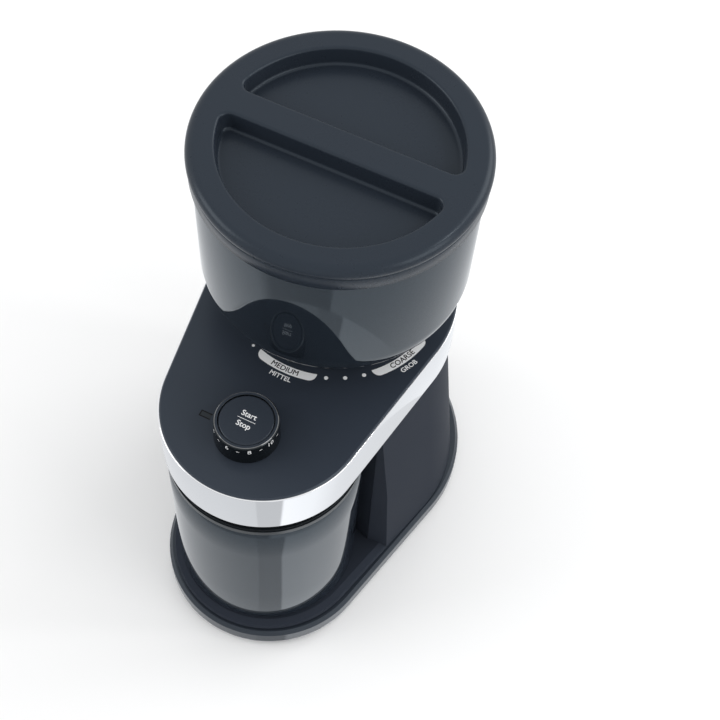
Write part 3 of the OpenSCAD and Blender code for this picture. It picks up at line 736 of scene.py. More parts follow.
@dataclass(frozen=True)
class Piece:
    """A piece of the visual model, made in one of four ways.

    Args:
        name: Name of the piece.
        body: Body that it rides on.
        finish: Its finish.
        crease: Angle in degrees above which an edge stays sharp.
    """

    name: str
    body: str
    finish: Finish
    crease: float = 35.0

    def from_work(self, work: bmesh.types.BMesh) -> bpy.types.Object:
        """Makes the piece from a working mesh, which it frees.

        Args:
            work: The working mesh.

        Returns:
            The new object.
        """
        bmesh.ops.remove_doubles(work, verts=work.verts, dist=SAME_POINT)
        bmesh.ops.recalc_face_normals(work, faces=work.faces)
        mesh = bpy.data.meshes.new(self.name)
        work.to_mesh(mesh)
        work.free()
        mesh.shade_smooth()
        mesh.set_sharp_from_angle(angle=math.radians(self.crease))
        mesh.materials.append(self.finish.material())
        made = place(self.name, mesh)
        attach(made, self.body)
        LOG.info("%s on %s: %d faces, %s", self.name, self.body, len(mesh.polygons),
                 self.finish.name)
        return made

    def from_faces(self, points: list[Point], faces: list[Face]) -> bpy.types.Object:
        """Makes the piece from its corners and the corner numbers of each face."""
        draft = bpy.data.meshes.new(f"{self.name}_draft")
        draft.from_pydata(points, [], faces)
        draft.validate()
        work = bmesh.new()
        work.from_mesh(draft)
        bpy.data.meshes.remove(draft)
        return self.from_work(work)

    def from_outlines(self, outlines: list[Ring], thick: float) -> bpy.types.Object:
        """Makes the piece as slabs of one thickness on level outlines."""
        points: list[Point] = []
        faces: list[Face] = []
        for outline in outlines:
            more, sides = slab(outline, (0, 0, thick), len(points))
            points += more
            faces += sides
        return self.from_faces(points, faces)

    def from_rings(self, rings: list[Ring]) -> bpy.types.Object:
        """Makes the piece from outlines round its section, which close on the first."""
        work = bmesh.new()
        wrap(work, rings + rings[:1])
        return self.from_work(work)


@dataclass(frozen=True)
class Lettering:
    """Flat letters of one height and weight.

    Args:
        height: Height of a capital letter, in metres.
        weight: How far each stroke is widened, in metres.
        capital_share: Height of a capital as a share of the letters' size.
        curve_steps: Steps in each curve of a letter.
        same_corner: Gap within which corners are joined, in millimetres.
        sharpest: Least share of a corner's pull that its sides get.
    """

    height: float
    weight: float
    capital_share: float = 0.69
    curve_steps: int = 4
    same_corner: float = 0.001
    sharpest: float = 0.55

    def shape(self, text: str) -> tuple[list[Plan], list[Face]]:
        """Shapes a word as flat faces, centred on the origin.

        Args:
            text: Word to shape.

        Returns:
            Plan points and faces.
        """
        curve = bpy.data.curves.new("letters", "FONT")
        curve.body = text
        curve.align_x = "CENTER"
        curve.align_y = "CENTER"
        curve.size = self.height / MM / self.capital_share
        curve.resolution_u = self.curve_steps
        holder = place("letters", curve)
        mesh = evaluated(holder)
        work = bmesh.new()
        work.from_mesh(mesh)
        bmesh.ops.remove_doubles(work, verts=work.verts, dist=self.same_corner)
        self.widen(work)
        work.verts.index_update()
        points = [(v.co.x * MM, v.co.y * MM) for v in work.verts]
        faces = [tuple(v.index for v in face.verts) for face in work.faces]
        work.free()
        bpy.data.objects.remove(holder)
        bpy.data.curves.remove(curve)
        bpy.data.meshes.remove(mesh)
        return points, faces

    def widen(self, work: bmesh.types.BMesh) -> None:
        """Thickens flat letters, in millimetres, by moving their outline outwards.

        Args:
            work: The letters, which change.
        """
        pulls: dict[bmesh.types.BMVert, list[Vector]] = {}
        for edge in work.edges:
            if len(edge.link_faces) != 1:
                continue
            start, end = edge.verts
            along = end.co - start.co
            out = Vector((along.y, -along.x, 0.0)).normalized()
            if out.dot(edge.link_faces[0].calc_center_median() - start.co) > 0:
                out.negate()
            for corner in edge.verts:
                pulls.setdefault(corner, []).append(out)
        for corner, outs in pulls.items():
            mean = sum(outs, Vector()).normalized()
            corner.co += mean * (self.weight / MM) / max(self.sharpest, mean.dot(outs[0]))


# ---------------------------------------------------------------- CAD nodes


@dataclass(frozen=True)
class Dress:
    """Finish and softened edge of some CAD nodes.

    Args:
        finish: Their finish.
        edge: Width of the softened edge, in millimetres; 0 leaves edges crisp.
        nodes: Names of the nodes.
        weld: Gap within which corners are joined, in millimetres.
        soft_angle: Angle in degrees above which an edge is softened.
        soft_steps: Rows of faces across a softened edge.
        flat_weight: How strongly the flat faces set the shading beside it.
        crisp_angle: Angle above which an edge of a crisp node stays sharp.
    """

    finish: Finish
    edge: float
    nodes: tuple[str, ...]
    weld: float = 0.002
    soft_angle: float = 29.0
    soft_steps: int = 2
    flat_weight: int = 80
    crisp_angle: float = 30.0

    def apply(self) -> None:
        """Gives each node its material and smooths how it is shaded."""
        for name in self.nodes:
            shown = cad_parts[name]
            shown.data.materials.clear()
            shown.data.materials.append(self.finish.material())
            shown.data.polygons.foreach_set("use_smooth", [True] * len(shown.data.polygons))
            shown.modifiers.new("weld", "WELD").merge_threshold = self.weld * MM
            if self.edge > 0:
                self.soften(shown)
            else:
                split = shown.modifiers.new("crisp_edge", "EDGE_SPLIT")
                split.split_angle = math.radians(self.crisp_angle)
            LOG.info("%s dressed in %s", name, self.finish.name)

    def soften(self, shown: bpy.types.Object) -> None:
        """Rounds a node's edges with a narrow bevel.

        Args:
            shown: The node's object.
        """
        bevel = shown.modifiers.new("soft_edge", "BEVEL")
        bevel.width = self.edge * MM
        bevel.segments = self.soft_steps
        bevel.limit_method = "ANGLE"
        bevel.angle_limit = math.radians(self.soft_angle)
        shown.modifiers.new("flat_shade", "WEIGHTED_NORMAL").weight = self.flat_weight


DRESSES: tuple[Dress, ...] = (
    Dress(TRAY, 0.6, ("base_tray",)),
    Dress(BODY, 0.6, ("body_shell",)),
    Dress(BODY, 0.5, ("niche_panel", "head_shell")),
    Dress(BODY, 0.0, ("outlet_duct", "gearbox_cover", "motor_endcap")),
    Dress(PLATE, 0.3, ("top_plate",)),
    Dress(CHROME, 0.3, ("chrome_band",)),
    Dress(CHAMBER, 0.3, ("burr_chamber",)),
    Dress(LID, 1.0, ("hopper_lid",)),
    Dress(LID, 0.4, ("hopper_funnel",)),
    Dress(SMOKE, 0.0, ("hopper_bowl", "grounds_cup")),
    Dress(SATIN_BLACK, 0.3, ("hopper_neck",)),
    Dress(SATIN_BLACK, 0.4, ("cup_lid",)),
    Dress(SCREW_BLACK, 0.0, ("plate_screws",)),
    Dress(GLOSS_BLACK, 0.0, ("hopper_switch",)),
    Dress(GLOSS_BLACK, 0.2, ("timer_dial",)),
    Dress(DIAL_SATIN, 0.2, ("start_button",)),
    Dress(ADJUSTER_STEEL, 0.0, ("adjuster_ring",)),
    Dress(KEY_BRIGHT, 0.2, ("adjuster_key",)),
    Dress(BURR_STEEL, 0.0, ("ring_burr", "cone_burr")),
    Dress(PIN_STEEL_PAINTED_SHADE, 0.0, ("hopper_pin",)),
    Dress(SHAFT_STEEL, 0.2, ("burr_nut",)),
    Dress(SHAFT_STEEL, 0.0, (
        "upper_bearing", "layshaft_pin", "burr_shaft", "lay_pinion", "motor_rotor",
        "button_spring",
    )),
    Dress(ZINC, 0.4, ("motor_can",)),
    Dress(ZINC, 0.0, (
        "base_screws", "gear_plate", "gear_screws", "timer_encoder", "hopper_screws",
    )),
    Dress(BRASS, 0.0, ("gear_standoffs", "lower_bushing", "motor_pinion")),
    Dress(NYLON, 0.0, ("impeller", "output_gear", "lay_wheel")),
    Dress(MAGNET, 0.0, ("motor_magnets",)),
    Dress(BOARD, 0.0, ("control_board",)),
    Dress(RUBBER, 0.3, ("rubber_feet",)),
    Dress(RUBBER, 0.4, ("cord_grommet",)),
    Dress(RUBBER, 0.0, ("shaft_seal", "lid_seal", "cup_seal")),
)


# ---------------------------------------------------------------- printed marks


@dataclass
class ScalePrint:
    """Grind scale printed on the top plate, round the burr axis.

    Angles are in degrees. The dots' radii and the index mark are in millimetres.
    """

    inner: float = 57.7 * MM
    outer: float = 62.5 * MM
    word_radius: float = 60.1 * MM
    word_height: float = 3.05 * MM
    word_level: float = 0.06 * MM
    second_radius: float = 65.6 * MM
    second_height: float = 2.75 * MM
    second_level: float = 0.03 * MM
    dot_radius: float = 59.3 * MM
    weight: float = 0.07 * MM
    steps: int = 48
    dot_steps: int = 36
    corner_reach: float = 5.0 * MM
    corner_power: float = 2.2
    fields: tuple[tuple[str, str, float, float], ...] = (
        ("FINE", "FEIN", -172.5, -137.3),
        ("MEDIUM", "MITTEL", -108.0, -73.0),
        ("COARSE", "GROB", -42.9, -6.7),
    )
    dots: tuple[tuple[float, float], ...] = (
        (-132.9, 0.85), (-122.8, 0.85), (-112.5, 0.85),
        (-68.0, 1.15), (-57.9, 1.15), (-47.7, 1.15),
    )
    mark: tuple[float, float, float, float] = (-28.3, -21.6, -79.7, -75.9)
    mark_line: float = 0.65

    def crescent(self, name: str, first: float, last: float) -> None:
        """Prints one white field with sharp inner and rounded outer corners.

        Args:
            name: Name of the piece.
            first: Angle where the field starts, in degrees.
            last: Angle where it ends.
        """
        start, end = math.radians(first), math.radians(last)
        level = PLATE_TOP + INK_GAP
        outline = [
            around(BURR, self.inner, start + (end - start) * i / self.steps, level)
            for i in range(self.steps + 1)
        ]
        for i in range(1, self.steps):
            angle = end + (start - end) * (1 - math.cos(math.pi * i / self.steps)) / 2
            near = min(1.0, (angle - start) * self.outer / self.corner_reach,
                       (end - angle) * self.outer / self.corner_reach)
            share = math.sqrt(1 - (1 - near) ** self.corner_power)
            radius = self.inner + (self.outer - self.inner) * share
            outline.append(around(BURR, radius, angle, level))
        Piece(name, "housing", INK_WHITE).from_outlines([outline], INK_THICK)

    def word(
        self, kind: str, text: str, radius: float, angle: float, height: float, level: float,
        ink: Finish,
    ) -> None:
        """Prints a word along an arc, tops towards the burr axis.

        Args:
            kind: Word or second, for the name of the piece.
            text: The word.
            radius: Radius of the middle of the letters.
            angle: Angle of the middle of the word, in degrees.
            height: Height of a capital.
            level: Height of the ink above the plate.
            ink: Finish of the word.
        """
        flat, faces = Lettering(height, self.weight).shape(text)
        middle = math.radians(angle)
        points = [
            around(BURR, radius - y, middle + x / radius, PLATE_TOP + level) for x, y in flat
        ]
        Piece(f"scale_{kind}_{text.lower()}", "housing", ink).from_faces(points, faces)

    def dot(self, number: int, angle: float, size: float) -> None:
        """Prints one round dot.

        Args:
            number: Number of the dot.
            angle: Its angle, in degrees.
            size: Its radius in millimetres.
        """
        x, y, level = around(BURR, self.dot_radius, math.radians(angle), PLATE_TOP + INK_GAP)
        outline = circle((x, y), size * MM, level, self.dot_steps)
        Piece(f"scale_dot_{number}", "housing", INK_WHITE).from_outlines([outline], INK_THICK)

    def index_mark(self) -> None:
        """Prints the outlined mark beside the knob that the dial is read against."""
        left, right, low, high = self.mark
        line = self.mark_line
        bars = (
            (left, right, low, low + line), (left, right, high - line, high),
            (left, left + line, low + line, high - line),
        )
        field = (left + line, right, low + line, high - line)
        for name, parts, thick, ink in (
            ("timer_index_mark", bars, INK_THICK, INK_BLACK),
            ("timer_index_field", (field,), INK_THICK / 2, SATIN_BLACK),
        ):
            outlines = [
                [(x * MM, y * MM, PLATE_TOP + INK_GAP) for x, y in rectangle(*part)]
                for part in parts
            ]
            Piece(name, "housing", ink).from_outlines(outlines, thick)

    def build(self) -> None:
        """Prints the three fields, their words, the dots and the index mark."""
        for text, second, first, last in self.fields:
            middle = (first + last) / 2
            self.crescent(f"scale_field_{text.lower()}", first, last)
            self.word("word", text, self.word_radius, middle, self.word_height,
                      self.word_level, INK_BLACK)
            self.word("second", second, self.second_radius, middle, self.second_height,
                      self.second_level, INK_WHITE)
        for number, (angle, size) in enumerate(self.dots):
            self.dot(number, angle, size)
        self.index_mark()


@dataclass
class KnobPrint:
    """Numbers round the timer dial, its trim, and the words and spring of its button.

    Angles are in degrees. The sections, as radius and height, the words' offsets and the line
    between them are in millimetres.
    """

    radius_low: float = 18.1 * MM
    radius_high: float = 17.5 * MM
    low: float = 200.4 * MM
    high: float = 214.1 * MM
    ink_lift: float = 0.03 * MM
    number_level: float = 211.2 * MM
    number_height: float = 3.3 * MM
    number_weight: float = 0.02 * MM
    step: float = 40.5
    numbers: tuple[tuple[str, float], ...] = (
        ("2", -178.5), ("4", -138.0), ("6", -97.5), ("8", -57.0), ("10", -16.5),
    )
    dash_half: float = 0.62 * MM
    dash_round: float = 0.24 * MM
    dash_bend: float = 80.0
    dash_steps: int = 5
    face_section: tuple[Plan, ...] = (
        (15.35, 214.88), (16.6, 214.88), (16.6, 214.94), (15.35, 214.94),
    )
    edge_section: tuple[Plan, ...] = (
        (16.55, 214.90), (16.72, 214.94), (17.0, 214.66), (16.9, 214.6),
    )
    ring_steps: int = 128
    word_level: float = 214.75 * MM
    word_height: float = 3.1 * MM
    word_weight: float = 0.07 * MM
    words: tuple[tuple[str, float], ...] = (("Start", 3.15), ("Stop", -3.35))
    line: tuple[float, float, float, float] = (-5.2, 5.2, -0.15, 0.15)
    line_thick: float = 0.02 * MM
    spring_foot: float = 205.4 * MM
    spring_crease: float = 40.0
    travel: float = 2.0 * MM

    def on_dial(self, flat: list[Plan], angle: float) -> list[Point]:
        """Wraps flat points round the dial's side.

        Args:
            flat: Points along and up the side, from the middle of the print.
            angle: Angle of the middle of the print, in degrees.

        Returns:
            The points on the dial.
        """
        wrapped = []
        for x, y in flat:
            level = self.number_level + y
            share = (level - self.low) / (self.high - self.low)
            radius = self.radius_low + (self.radius_high - self.radius_low) * share
            turn = math.radians(angle) + x / self.radius_low
            wrapped.append(around(KNOB, radius + self.ink_lift, turn, level))
        return wrapped

    def numerals(self) -> None:
        """Prints the cup numbers and a dash for each half step after them."""
        dash = [
            point for x, middle in ((self.dash_half, 0), (-self.dash_half, 180))
            for point in arc((x, 0), self.dash_round, middle - self.dash_bend,
                             middle + self.dash_bend, self.dash_steps)
        ]
        for text, angle in self.numbers:
            flat, faces = Lettering(self.number_height, self.number_weight).shape(text)
            number = Piece(f"dial_number_{text}", "dial", INK_WHITE)
            number.from_faces(self.on_dial(flat, angle), faces)
            half = Piece(f"dial_dash_{text}", "dial", INK_WHITE)
            half.from_faces(self.on_dial(dash, angle + self.step / 2), [tuple(range(len(dash)))])

    def dial_face(self) -> None:
        """Lays the satin ring round the button and the glossy line at its edge, whose lighter
        colour than the dial is a painted highlight.
        """
        for name, section, finish in (
            ("dial_face", self.face_section, DIAL_SATIN),
            ("dial_edge_highlight", self.edge_section, EDGE_GLOSS_PAINTED_HIGHLIGHT),
        ):
            profile = [(radius * MM, level * MM) for radius, level in section]
            Piece(name, "dial", finish).from_rings(turned_form(profile, KNOB, self.ring_steps))

    def button_words(self) -> None:
        """Prints the words and the line between them on the button."""
        for text, offset in self.words:
            flat, faces = Lettering(self.word_height, self.word_weight).shape(text)
            points = [
                (KNOB[0] + x, KNOB[1] + y + offset * MM, self.word_level) for x, y in flat
            ]
            Piece(f"button_word_{text.lower()}", "button", INK_WHITE).from_faces(points, faces)
        bar = [
            (KNOB[0] + x * MM, KNOB[1] + y * MM, self.word_level - self.line_thick)
            for x, y in rectangle(*self.line)
        ]
        Piece("button_line", "button", INK_WHITE).from_outlines([bar], self.line_thick)

    def spring(self) -> None:
        """Stands in for the button's spring with a copy that rides on the dial."""
        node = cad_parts["button_spring"]
        work = bmesh.new()
        work.from_mesh(node.data)
        made = Piece("dial_spring", "dial", SHAFT_STEEL, self.spring_crease).from_work(work)
        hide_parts("button_spring")
        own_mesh(made)

    def build(self) -> None:
        """Prints the dial and the button and sets the spring between them."""
        self.numerals()
        self.dial_face()
        self.button_words()
        self.spring()


# ---------------------------------------------------------------- hopper, cup and band


@dataclass
class HopperLid:
    """Lid of the hopper with two D-shaped grip recesses and a rounded rim.

    The groove and the underside are radius and height in millimetres, and the groove's heights
    count from the foot of the bead.
    """

    radius: float = 77 * MM
    bead: float = 5 * MM
    bead_sweep: float = 118.0
    top: float = 328.6 * MM
    floor: float = 317.6 * MM
    recess: float = 62 * MM
    bar: float = 17 * MM
    corner: float = 5 * MM
    least_corner: float = 0.4 * MM
    edge: float = 1.7 * MM
    fillet: float = 1.8 * MM
    draft: float = 0.5 * MM
    margin: float = 0.4 * MM
    groove: tuple[Plan, ...] = ((75.9, -0.25), (75.9, -0.7), (76.25, -0.95), (76.3, -1.3))
    underside: tuple[Plan, ...] = (
        (76.3, 312.8), (76.1, 312.5), (75.1, 312.5), (74.9, 312.7), (74.9, 316), (71.0, 316),
        (71.0, 310.3), (70.7, 310), (68.3, 310), (68.0, 310.3), (68.0, 315.2), (67.2, 316),
    )
    arc_steps: int = 72
    corner_steps: int = 8
    line_steps: int = 36
    edge_steps: int = 6
    bead_steps: int = 18
    steps: int = 200
    crease: float = 50.0

    def recess_loop(self, inset: float, level: float, side: int) -> Ring:
        """Gives the outline of one recess, moved inwards by an inset.

        Args:
            inset: How far inside the nominal outline.
            level: Height of the loop.
            side: 1 for the back recess, -1 for the front one.

        Returns:
            Points in order, the same number for every inset.
        """
        bend = max(self.corner - inset, self.least_corner)
        outer = self.recess - inset
        line = self.bar / 2 + inset
        y = line + bend
        x = math.sqrt((outer - bend) ** 2 - y * y)
        lean = math.degrees(math.atan2(y, x))
        points = arc((0, 0), outer, lean, 180 - lean, self.arc_steps)
        points += arc((-x, y), bend, 180 - lean, 270, self.corner_steps)[1:]
        points += [
            (-x + 2 * x * i / self.line_steps, line) for i in range(1, self.line_steps + 1)
        ]
        points += arc((x, y), bend, -90, lean, self.corner_steps)[1:-1]
        return [(BURR[0] + x, BURR[1] + side * y, level) for x, y in points]

    def recess_section(self) -> list[Plan]:
        """Gives inset and height down the recess: rounded edge, wall and fillet."""
        end = self.draft + self.fillet
        return [
            (-self.edge - self.margin, self.top),
            *arc((-self.edge, self.top - self.edge), self.edge, 90, 0, self.edge_steps),
            *arc((end, self.floor + self.fillet), self.fillet, 180, 270, self.edge_steps),
            (end + self.margin, self.floor),
        ]

    def rim_section(self) -> list[Plan]:
        """Gives radius and height from the flat top over the bead to the underside."""
        flat = self.radius - self.bead
        bead = arc((flat, self.top - self.bead), self.bead, 90, 90 - self.bead_sweep,
                   self.bead_steps)
        foot = bead[-1][1]
        return [
            (flat - self.margin, self.top), *bead,
            *((radius * MM, foot + drop * MM) for radius, drop in self.groove),
            *((radius * MM, level * MM) for radius, level in self.underside),
        ]

    def build(self) -> None:
        """Builds the lid as one closed form."""
        work = bmesh.new()
        forms = [
            [self.recess_loop(inset, level, side) for inset, level in self.recess_section()]
            for side in (1, -1)
        ]
        forms.append(turned_form(self.rim_section(), BURR, self.steps))
        edges: list[bmesh.types.BMEdge] = []
        for rings in forms:
            lines = wrap(work, rings)
            work.faces.new(lines[-1])
            mouth = lines[0]
            edges += [work.edges.get((mouth[i - 1], corner)) for i, corner in enumerate(mouth)]
        bmesh.ops.triangle_fill(work, use_beauty=True, use_dissolve=False, edges=edges)
        made = Piece("hopper_lid_shell", "lid", LID, self.crease).from_work(work)
        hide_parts("hopper_lid")


@dataclass
class HopperBowl:
    """Smoke-tinted bowl with a rounded foot and a rolled rim."""

    foot: float = 215.6 * MM
    rim: float = 315.0 * MM
    hole: float = 27.6 * MM
    hole_land: float = 0.3 * MM
    low_radius: float = 73.7 * MM
    rim_radius: float = 74.5 * MM
    bend: float = 26.7 * MM
    wall: float = 2.5 * MM
    lip: float = 1.3 * MM
    bend_steps: int = 24
    lip_steps: int = 12
    steps: int = 200
    crease: float = 50.0

    def side(self, inward: float) -> list[Plan]:
        """Gives the outline from the hole up to the rim, moved inwards.

        Args:
            inward: Distance inside the outer face.

        Returns:
            Radius and height of each corner.
        """
        middle = (self.low_radius - self.bend, self.foot + self.bend)
        return [
            (self.hole, self.foot + inward), (self.hole + self.hole_land, self.foot + inward),
            *arc(middle, self.bend - inward, -90, 0, self.bend_steps),
            (self.rim_radius - inward, self.rim - self.lip),
        ]

    def build(self) -> None:
        """Turns the bowl."""
        half = self.wall / 2
        middle = self.rim_radius - half
        base = self.rim - self.lip
        lip = [
            (middle + half * x, base + self.lip * y)
            for x, y in arc((0, 0), 1.0, 0, 180, self.lip_steps)[1:-1]
        ]
        profile = self.side(0.0) + lip + self.side(self.wall)[::-1]
        rings = turned_form(profile, BURR, self.steps)
        made = Piece("hopper_bowl_shell", "hopper", SMOKE, self.crease).from_rings(rings)
        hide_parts("hopper_bowl")


@dataclass
class GroundsCup:
    """Smoke-tinted cup: round in front, flat at the back, with a window for the grounds.

    The lip's section gives the share of the wall and the height over the rim in millimetres.
    """

    foot: float = 24.6 * MM
    rim: float = 153.5 * MM
    radius: float = 56 * MM
    back: float = -14 * MM
    taper: float = 0.8 * MM
    bend: float = 6 * MM
    inner_bend: float = 4 * MM
    back_bend: float = 2 * MM
    wall: float = 2.2 * MM
    base: float = 2.6 * MM
    corner: float = 3 * MM
    lip: float = 0.8 * MM
    lip_section: tuple[Plan, ...] = ((0.12, -0.25), (0.4, 0.0), (0.6, 0.0), (0.88, -0.25))
    window: tuple[float, float, float, float] = (-10 * MM, 10 * MM, 120 * MM, 126 * MM)
    cutter: float = 8 * MM
    steps: int = 120
    corner_steps: int = 6
    back_steps: int = 24
    bend_steps: int = 8
    wall_steps: int = 4
    crease: float = 50.0
    window_crease: float = 40.0

    def plan(self, radius: float, back: float, level: float) -> Ring:
        """Gives the cup's outline at one height.

        Args:
            radius: Radius of the round front.
            back: Y of the flat back.
            level: Height of the outline.

        Returns:
            Points in order, the same number at every height.
        """
        y = back - CUP[1] - self.corner
        x = math.sqrt((radius - self.corner) ** 2 - y * y)
        lean = math.degrees(math.atan2(y, x))
        points = arc((0, 0), radius, 180 - lean, 360 + lean, self.steps)
        points += arc((x, y), self.corner, lean, 90, self.corner_steps)[1:]
        points += [
            (x - 2 * x * i / self.back_steps, back - CUP[1]) for i in range(1, self.back_steps)
        ]
        points += arc((-x, y), self.corner, 90, 180 - lean, self.corner_steps)[:-1]
        return [(CUP[0] + x, CUP[1] + y, level) for x, y in points]

    def shell(self, inward: float, foot: float, bend: float) -> list[Ring]:
        """Gives the outlines of one side of the wall, from the foot up.

        Args:
            inward: Distance inside the outer face.
            foot: Height of the lowest outline.
            bend: Radius of the rounded foot.

        Returns:
            The outlines.
        """
        low = self.radius - inward - self.taper
        back = self.back - inward
        rings = []
        for out, drop in arc((0, 0), bend, -90, 0, self.bend_steps):
            shrink = bend - out
            rings.append(self.plan(
                low - shrink, back - min(shrink, self.back_bend), foot + bend + drop))
        rise = self.rim - self.lip - foot - bend
        for i in range(1, self.wall_steps + 1):
            share = i / self.wall_steps
            rings.append(self.plan(low + self.taper * share, back, foot + bend + rise * share))
        return rings

    def build(self) -> None:
        """Builds the cup and cuts its window."""
        outer = self.shell(0.0, self.foot, self.bend)
        inner = self.shell(self.wall, self.foot + self.base, self.inner_bend)
        lip = [
            self.plan(self.radius - self.wall * share, self.back - self.wall * share,
                      self.rim + drop * MM)
            for share, drop in self.lip_section
        ]
        work = bmesh.new()
        lines = wrap(work, outer + lip + inner[::-1])
        work.faces.new(lines[0])
        work.faces.new(lines[-1])
        cup = Piece("grounds_cup_shell", "cup", SMOKE, self.crease).from_work(work)
        self.cut_window(cup)
        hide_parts("grounds_cup")

    def cut_window(self, cup: bpy.types.Object) -> None:
        """Cuts the window in the flat back.

        Args:
            cup: The cup.
        """
        outline = [(x, self.back - self.cutter / 2, z) for x, z in rectangle(*self.window)]
        points, faces = slab(outline, (0, self.cutter, 0))
        mesh = bpy.data.meshes.new("window_cutter")
        mesh.from_pydata(points, [], faces)
        cutter = place("window_cutter", mesh)
        cut = cup.modifiers.new("window", "BOOLEAN")
        cut.operation = "DIFFERENCE"
        cut.solver = "EXACT"
        cut.object = cutter
        result = evaluated(cup)
        cup.modifiers.clear()
        uncut = cup.data
        cup.data = result
        bpy.data.meshes.remove(uncut)
        bpy.data.objects.remove(cutter)
        bpy.data.meshes.remove(mesh)
        result.shade_smooth()
        result.set_sharp_from_angle(angle=math.radians(self.window_crease))


@dataclass
class ChromeBand:
    """Polished band that wraps the head, with softened edges."""

    back_radius: float = 70.7 * MM
    front_radius: float = 57.2 * MM
    thick: float = 1.5 * MM
    low: float = 166.8 * MM
    high: float = 198.8 * MM
    edge: float = 0.45 * MM
    back_steps: int = 150
    front_steps: int = 120
    edge_steps: int = 6
    crease: float = 50.0

    def outline(self, inward: float, level: float) -> Ring:
        """Gives the band's pear outline at one height, moved inwards."""
        gap = BURR[1] - CUP[1]
        lean = math.degrees(math.asin((self.back_radius - self.front_radius) / gap))
        back = arc(BURR, self.back_radius - inward, -lean, 180 + lean, self.back_steps)
        front = arc(CUP, self.front_radius - inward, 180 + lean, 360 - lean, self.front_steps)
        return [(x, y, level) for x, y in back + front]

    def build(self) -> None:
        """Builds the band from its rounded section."""
        foot = arc((self.edge, self.low + self.edge), self.edge, 270, 180, self.edge_steps)
        head = arc((self.edge, self.high - self.edge), self.edge, 180, 90, self.edge_steps)
        section = foot + head + [(self.thick, self.high), (self.thick, self.low)]
        rings = [self.outline(inward, level) for inward, level in section]
        made = Piece("head_band", "housing", CHROME, self.crease).from_rings(rings)
        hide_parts("chrome_band")


# ---------------------------------------------------------------- studio


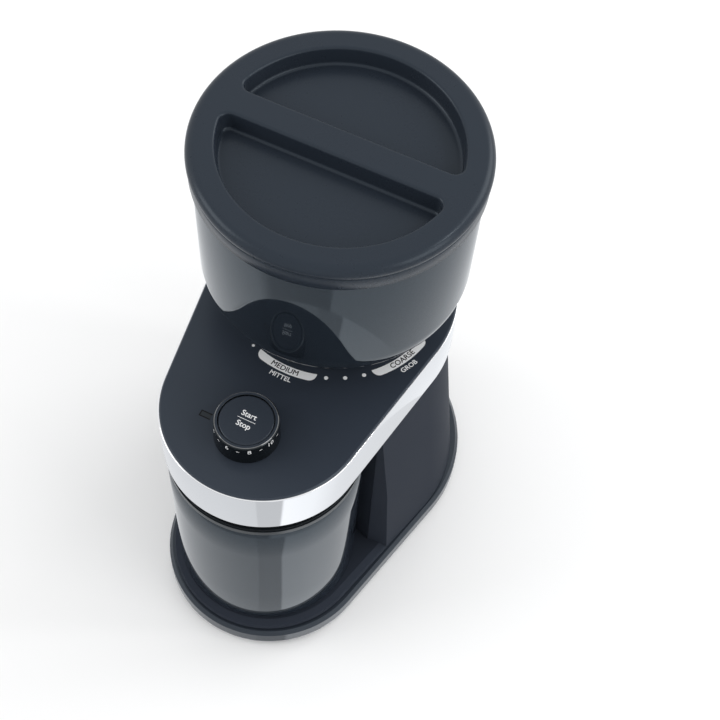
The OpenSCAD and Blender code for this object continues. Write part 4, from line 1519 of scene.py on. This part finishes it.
@dataclass
class Studio:
    """Floor, sky, lamps, reflection cards and camera.

    A lamp has a name, the point where it hangs, its aim, size and power. A ring has a name, its
    two radii, and stops of azimuth in degrees and brightness.
    """

    stand: Point = (0.1889, -0.3945, 0.8938)
    aim: Point = (0.0203, 0.0241, 0.140)
    roll: float = 4.57
    lens: float = 73.5
    sensor: float = 36.0
    clip: Plan = (0.01, 50.0)
    sky: float = 0.82
    floor_radius: float = 2.6
    floor_level: float = -0.0002
    steps: int = 96
    lamps: tuple[tuple[str, Point, Point, float, float], ...] = (
        ("lamp_back", (0.9, 1.3, 1.2), (0.0, 0.0, 0.12), 1.1, 9.0),
        ("lamp_left", (-1.3, -0.7, 1.0), (0.0, 0.0, 0.12), 0.9, 7.0),
        ("lamp_right", (1.4, -0.2, 0.8), (0.0, 0.0, 0.12), 0.8, 5.0),
        ("lamp_small", (1.0, 0.35, 1.3), (0.0, 0.0, 0.16), 0.12, 1.6),
    )
    glow: float = 1.3
    tint: Colour = (0.955, 0.975, 1.0)
    card_centre: Point = (0.0086, -0.0793, 0.0004)
    rings: tuple[tuple[str, float, float, tuple[Plan, ...]], ...] = (
        ("card_near", 0.03, 0.188, (
            (-180.0, 0.82), (-110.0, 0.80), (-70.9, 0.76), (-70.6, 0.66), (-43.8, 0.66),
            (-43.5, 1.2), (-10.0, 1.12), (20.0, 0.92), (60.0, 0.80), (180.0, 0.82),
        )),
        ("card_far", 0.188, 1.1, (
            (-180.0, 1.0), (-136.0, 0.9), (-121.5, 0.52), (-59.5, 0.50), (-57.0, 0.88),
            (29.0, 0.92), (65.0, 1.0), (180.0, 1.0),
        )),
    )

    @staticmethod
    def sheet(
        name: str, points: list[Point], faces: list[Face], material: bpy.types.Material
    ) -> None:
        """Lays a flat sheet that belongs to the studio and not to the object.

        Args:
            name: Name of the sheet.
            points: Its corners.
            faces: Corner numbers of each face.
            material: Its material.
        """
        mesh = bpy.data.meshes.new(name)
        mesh.from_pydata(points, [], faces)
        mesh.materials.append(material)
        place(name, mesh)

    @staticmethod
    def look(stand: Point, aim: Point) -> Quaternion:
        """Gives the turn that points a lamp or camera from where it stands to its aim."""
        return (Vector(aim) - Vector(stand)).to_track_quat("-Z", "Y")

    def floor(self) -> None:
        """Lays a pale floor that keeps a faint reflection of the base."""
        points = circle((0.0, 0.0), self.floor_radius, self.floor_level, self.steps)
        self.sheet("studio_floor", points, [tuple(range(self.steps))], SHEET.material())

    def world(self) -> None:
        """Gives a plain sky: white to the camera and in reflections, softer as light."""
        made = bpy.data.worlds.new("studio_sky")
        bpy.context.scene.world = made
        made.use_nodes = True
        tree = made.node_tree
        shade = next(n for n in tree.nodes if n.type == "BACKGROUND")
        path = add_node(tree, "LightPath").outputs
        bent = maths(tree, "MAXIMUM", path["Is Glossy Ray"], path["Is Transmission Ray"])
        seen = maths(tree, "MAXIMUM", path["Is Camera Ray"], bent)
        fill(tree, shade, {
            "Color": (1.0, 1.0, 1.0, 1.0), "Strength": seen * (1.0 - self.sky) + self.sky,
        })

    def light(self) -> None:
        """Hangs the soft lamps."""
        for name, stand, aim, size, power in self.lamps:
            data = bpy.data.lights.new(name, "AREA")
            data.size = size
            data.energy = power
            lamp = place(name, data)
            lamp.location = stand
            lamp.rotation_mode = "QUATERNION"
            lamp.rotation_quaternion = self.look(stand, aim)

    def cards(self) -> None:
        """Lays rings just above the floor that glow only for glossy rays: painted reflections,
        whose shades show as strips in the glossy walls.
        """
        centre, level = self.card_centre[:2], self.card_centre[2]
        for name, inner, outer, stops in self.rings:
            points = [p for r in (inner, outer) for p in circle(centre, r, level, self.steps)]
            faces = [
                (i, self.steps + i, self.steps + after, after)
                for i, after in ((i, (i + 1) % self.steps) for i in range(self.steps))
            ]
            self.sheet(name, points, faces, self.painted_reflection_material(name, stops))

    def painted_reflection_material(self, name: str, stops: tuple[Plan, ...]) -> bpy.types.Material:
        """Makes a card's glowing greys, a painted reflection seen only by glossy rays, which
        neither give nor take light elsewhere.

        Args:
            name: Name of the card.
            stops: Azimuth in degrees and brightness in a reflection.

        Returns:
            The material.
        """
        made = bpy.data.materials.new(f"{name}_shade")
        made.use_nodes = True
        tree = made.node_tree
        tree.nodes.clear()
        where = add_node(tree, "TexCoord").outputs["Object"]
        shift = vector_maths(tree, "SUBTRACT", {0: where, 1: self.card_centre})
        turn = add_node(tree, "TexGradient", {"Vector": shift})
        turn.gradient_type = "RADIAL"
        ramp = add_node(tree, "ValToRGB", {"Fac": turn.outputs["Fac"]})
        greys = ramp.color_ramp.elements
        ends = {0.0: 0, 1.0: -1}
        for azimuth, shade in stops:
            turned = azimuth / 360 + 0.5
            stop = greys[ends[turned]] if turned in ends else greys.new(turned)
            stop.color = (*(shade / self.glow * part for part in self.tint), 1.0)
        glow = add_node(tree, "Emission", {
            "Strength": self.glow, "Color": ramp.outputs["Color"],
        })
        clear = add_node(tree, "BsdfTransparent")
        below = add_node(tree, "NewGeometry").outputs["Backfacing"]
        glossy = add_node(tree, "LightPath").outputs["Is Glossy Ray"]
        shown = maths(tree, "MULTIPLY", glossy, maths(tree, "SUBTRACT", 1.0, below))
        blend = add_node(tree, "MixShader", {
            0: shown, 1: clear.outputs[0], 2: glow.outputs[0],
        })
        add_node(tree, "OutputMaterial", {"Surface": blend.outputs[0]})
        return made

    def camera(self) -> None:
        """Sets the camera above the front, a little to the right."""
        data = bpy.data.cameras.new("camera")
        data.lens = self.lens
        data.sensor_width = self.sensor
        data.clip_start, data.clip_end = self.clip
        made = place("camera", data)
        made.location = self.stand
        made.rotation_mode = "QUATERNION"
        roll = Quaternion((0, 0, 1), math.radians(self.roll))
        made.rotation_quaternion = self.look(self.stand, self.aim) @ roll
        bpy.context.scene.camera = made

    def build(self) -> None:
        """Builds the whole studio."""
        bpy.context.scene.view_settings.view_transform = "Standard"
        self.floor()
        self.world()
        self.light()
        self.cards()
        self.camera()


def main() -> None:
    """Builds every sub-assembly's looks in order."""
    logging.basicConfig(level=logging.INFO, format="%(name)s: %(message)s")
    Studio().build()
    for dress in DRESSES:
        dress.apply()
    for assembly in (
        ChromeBand(), HopperLid(), HopperBowl(), GroundsCup(), ScalePrint(), KnobPrint(),
    ):
        assembly.build()


if __name__ == "__main__":
    main()
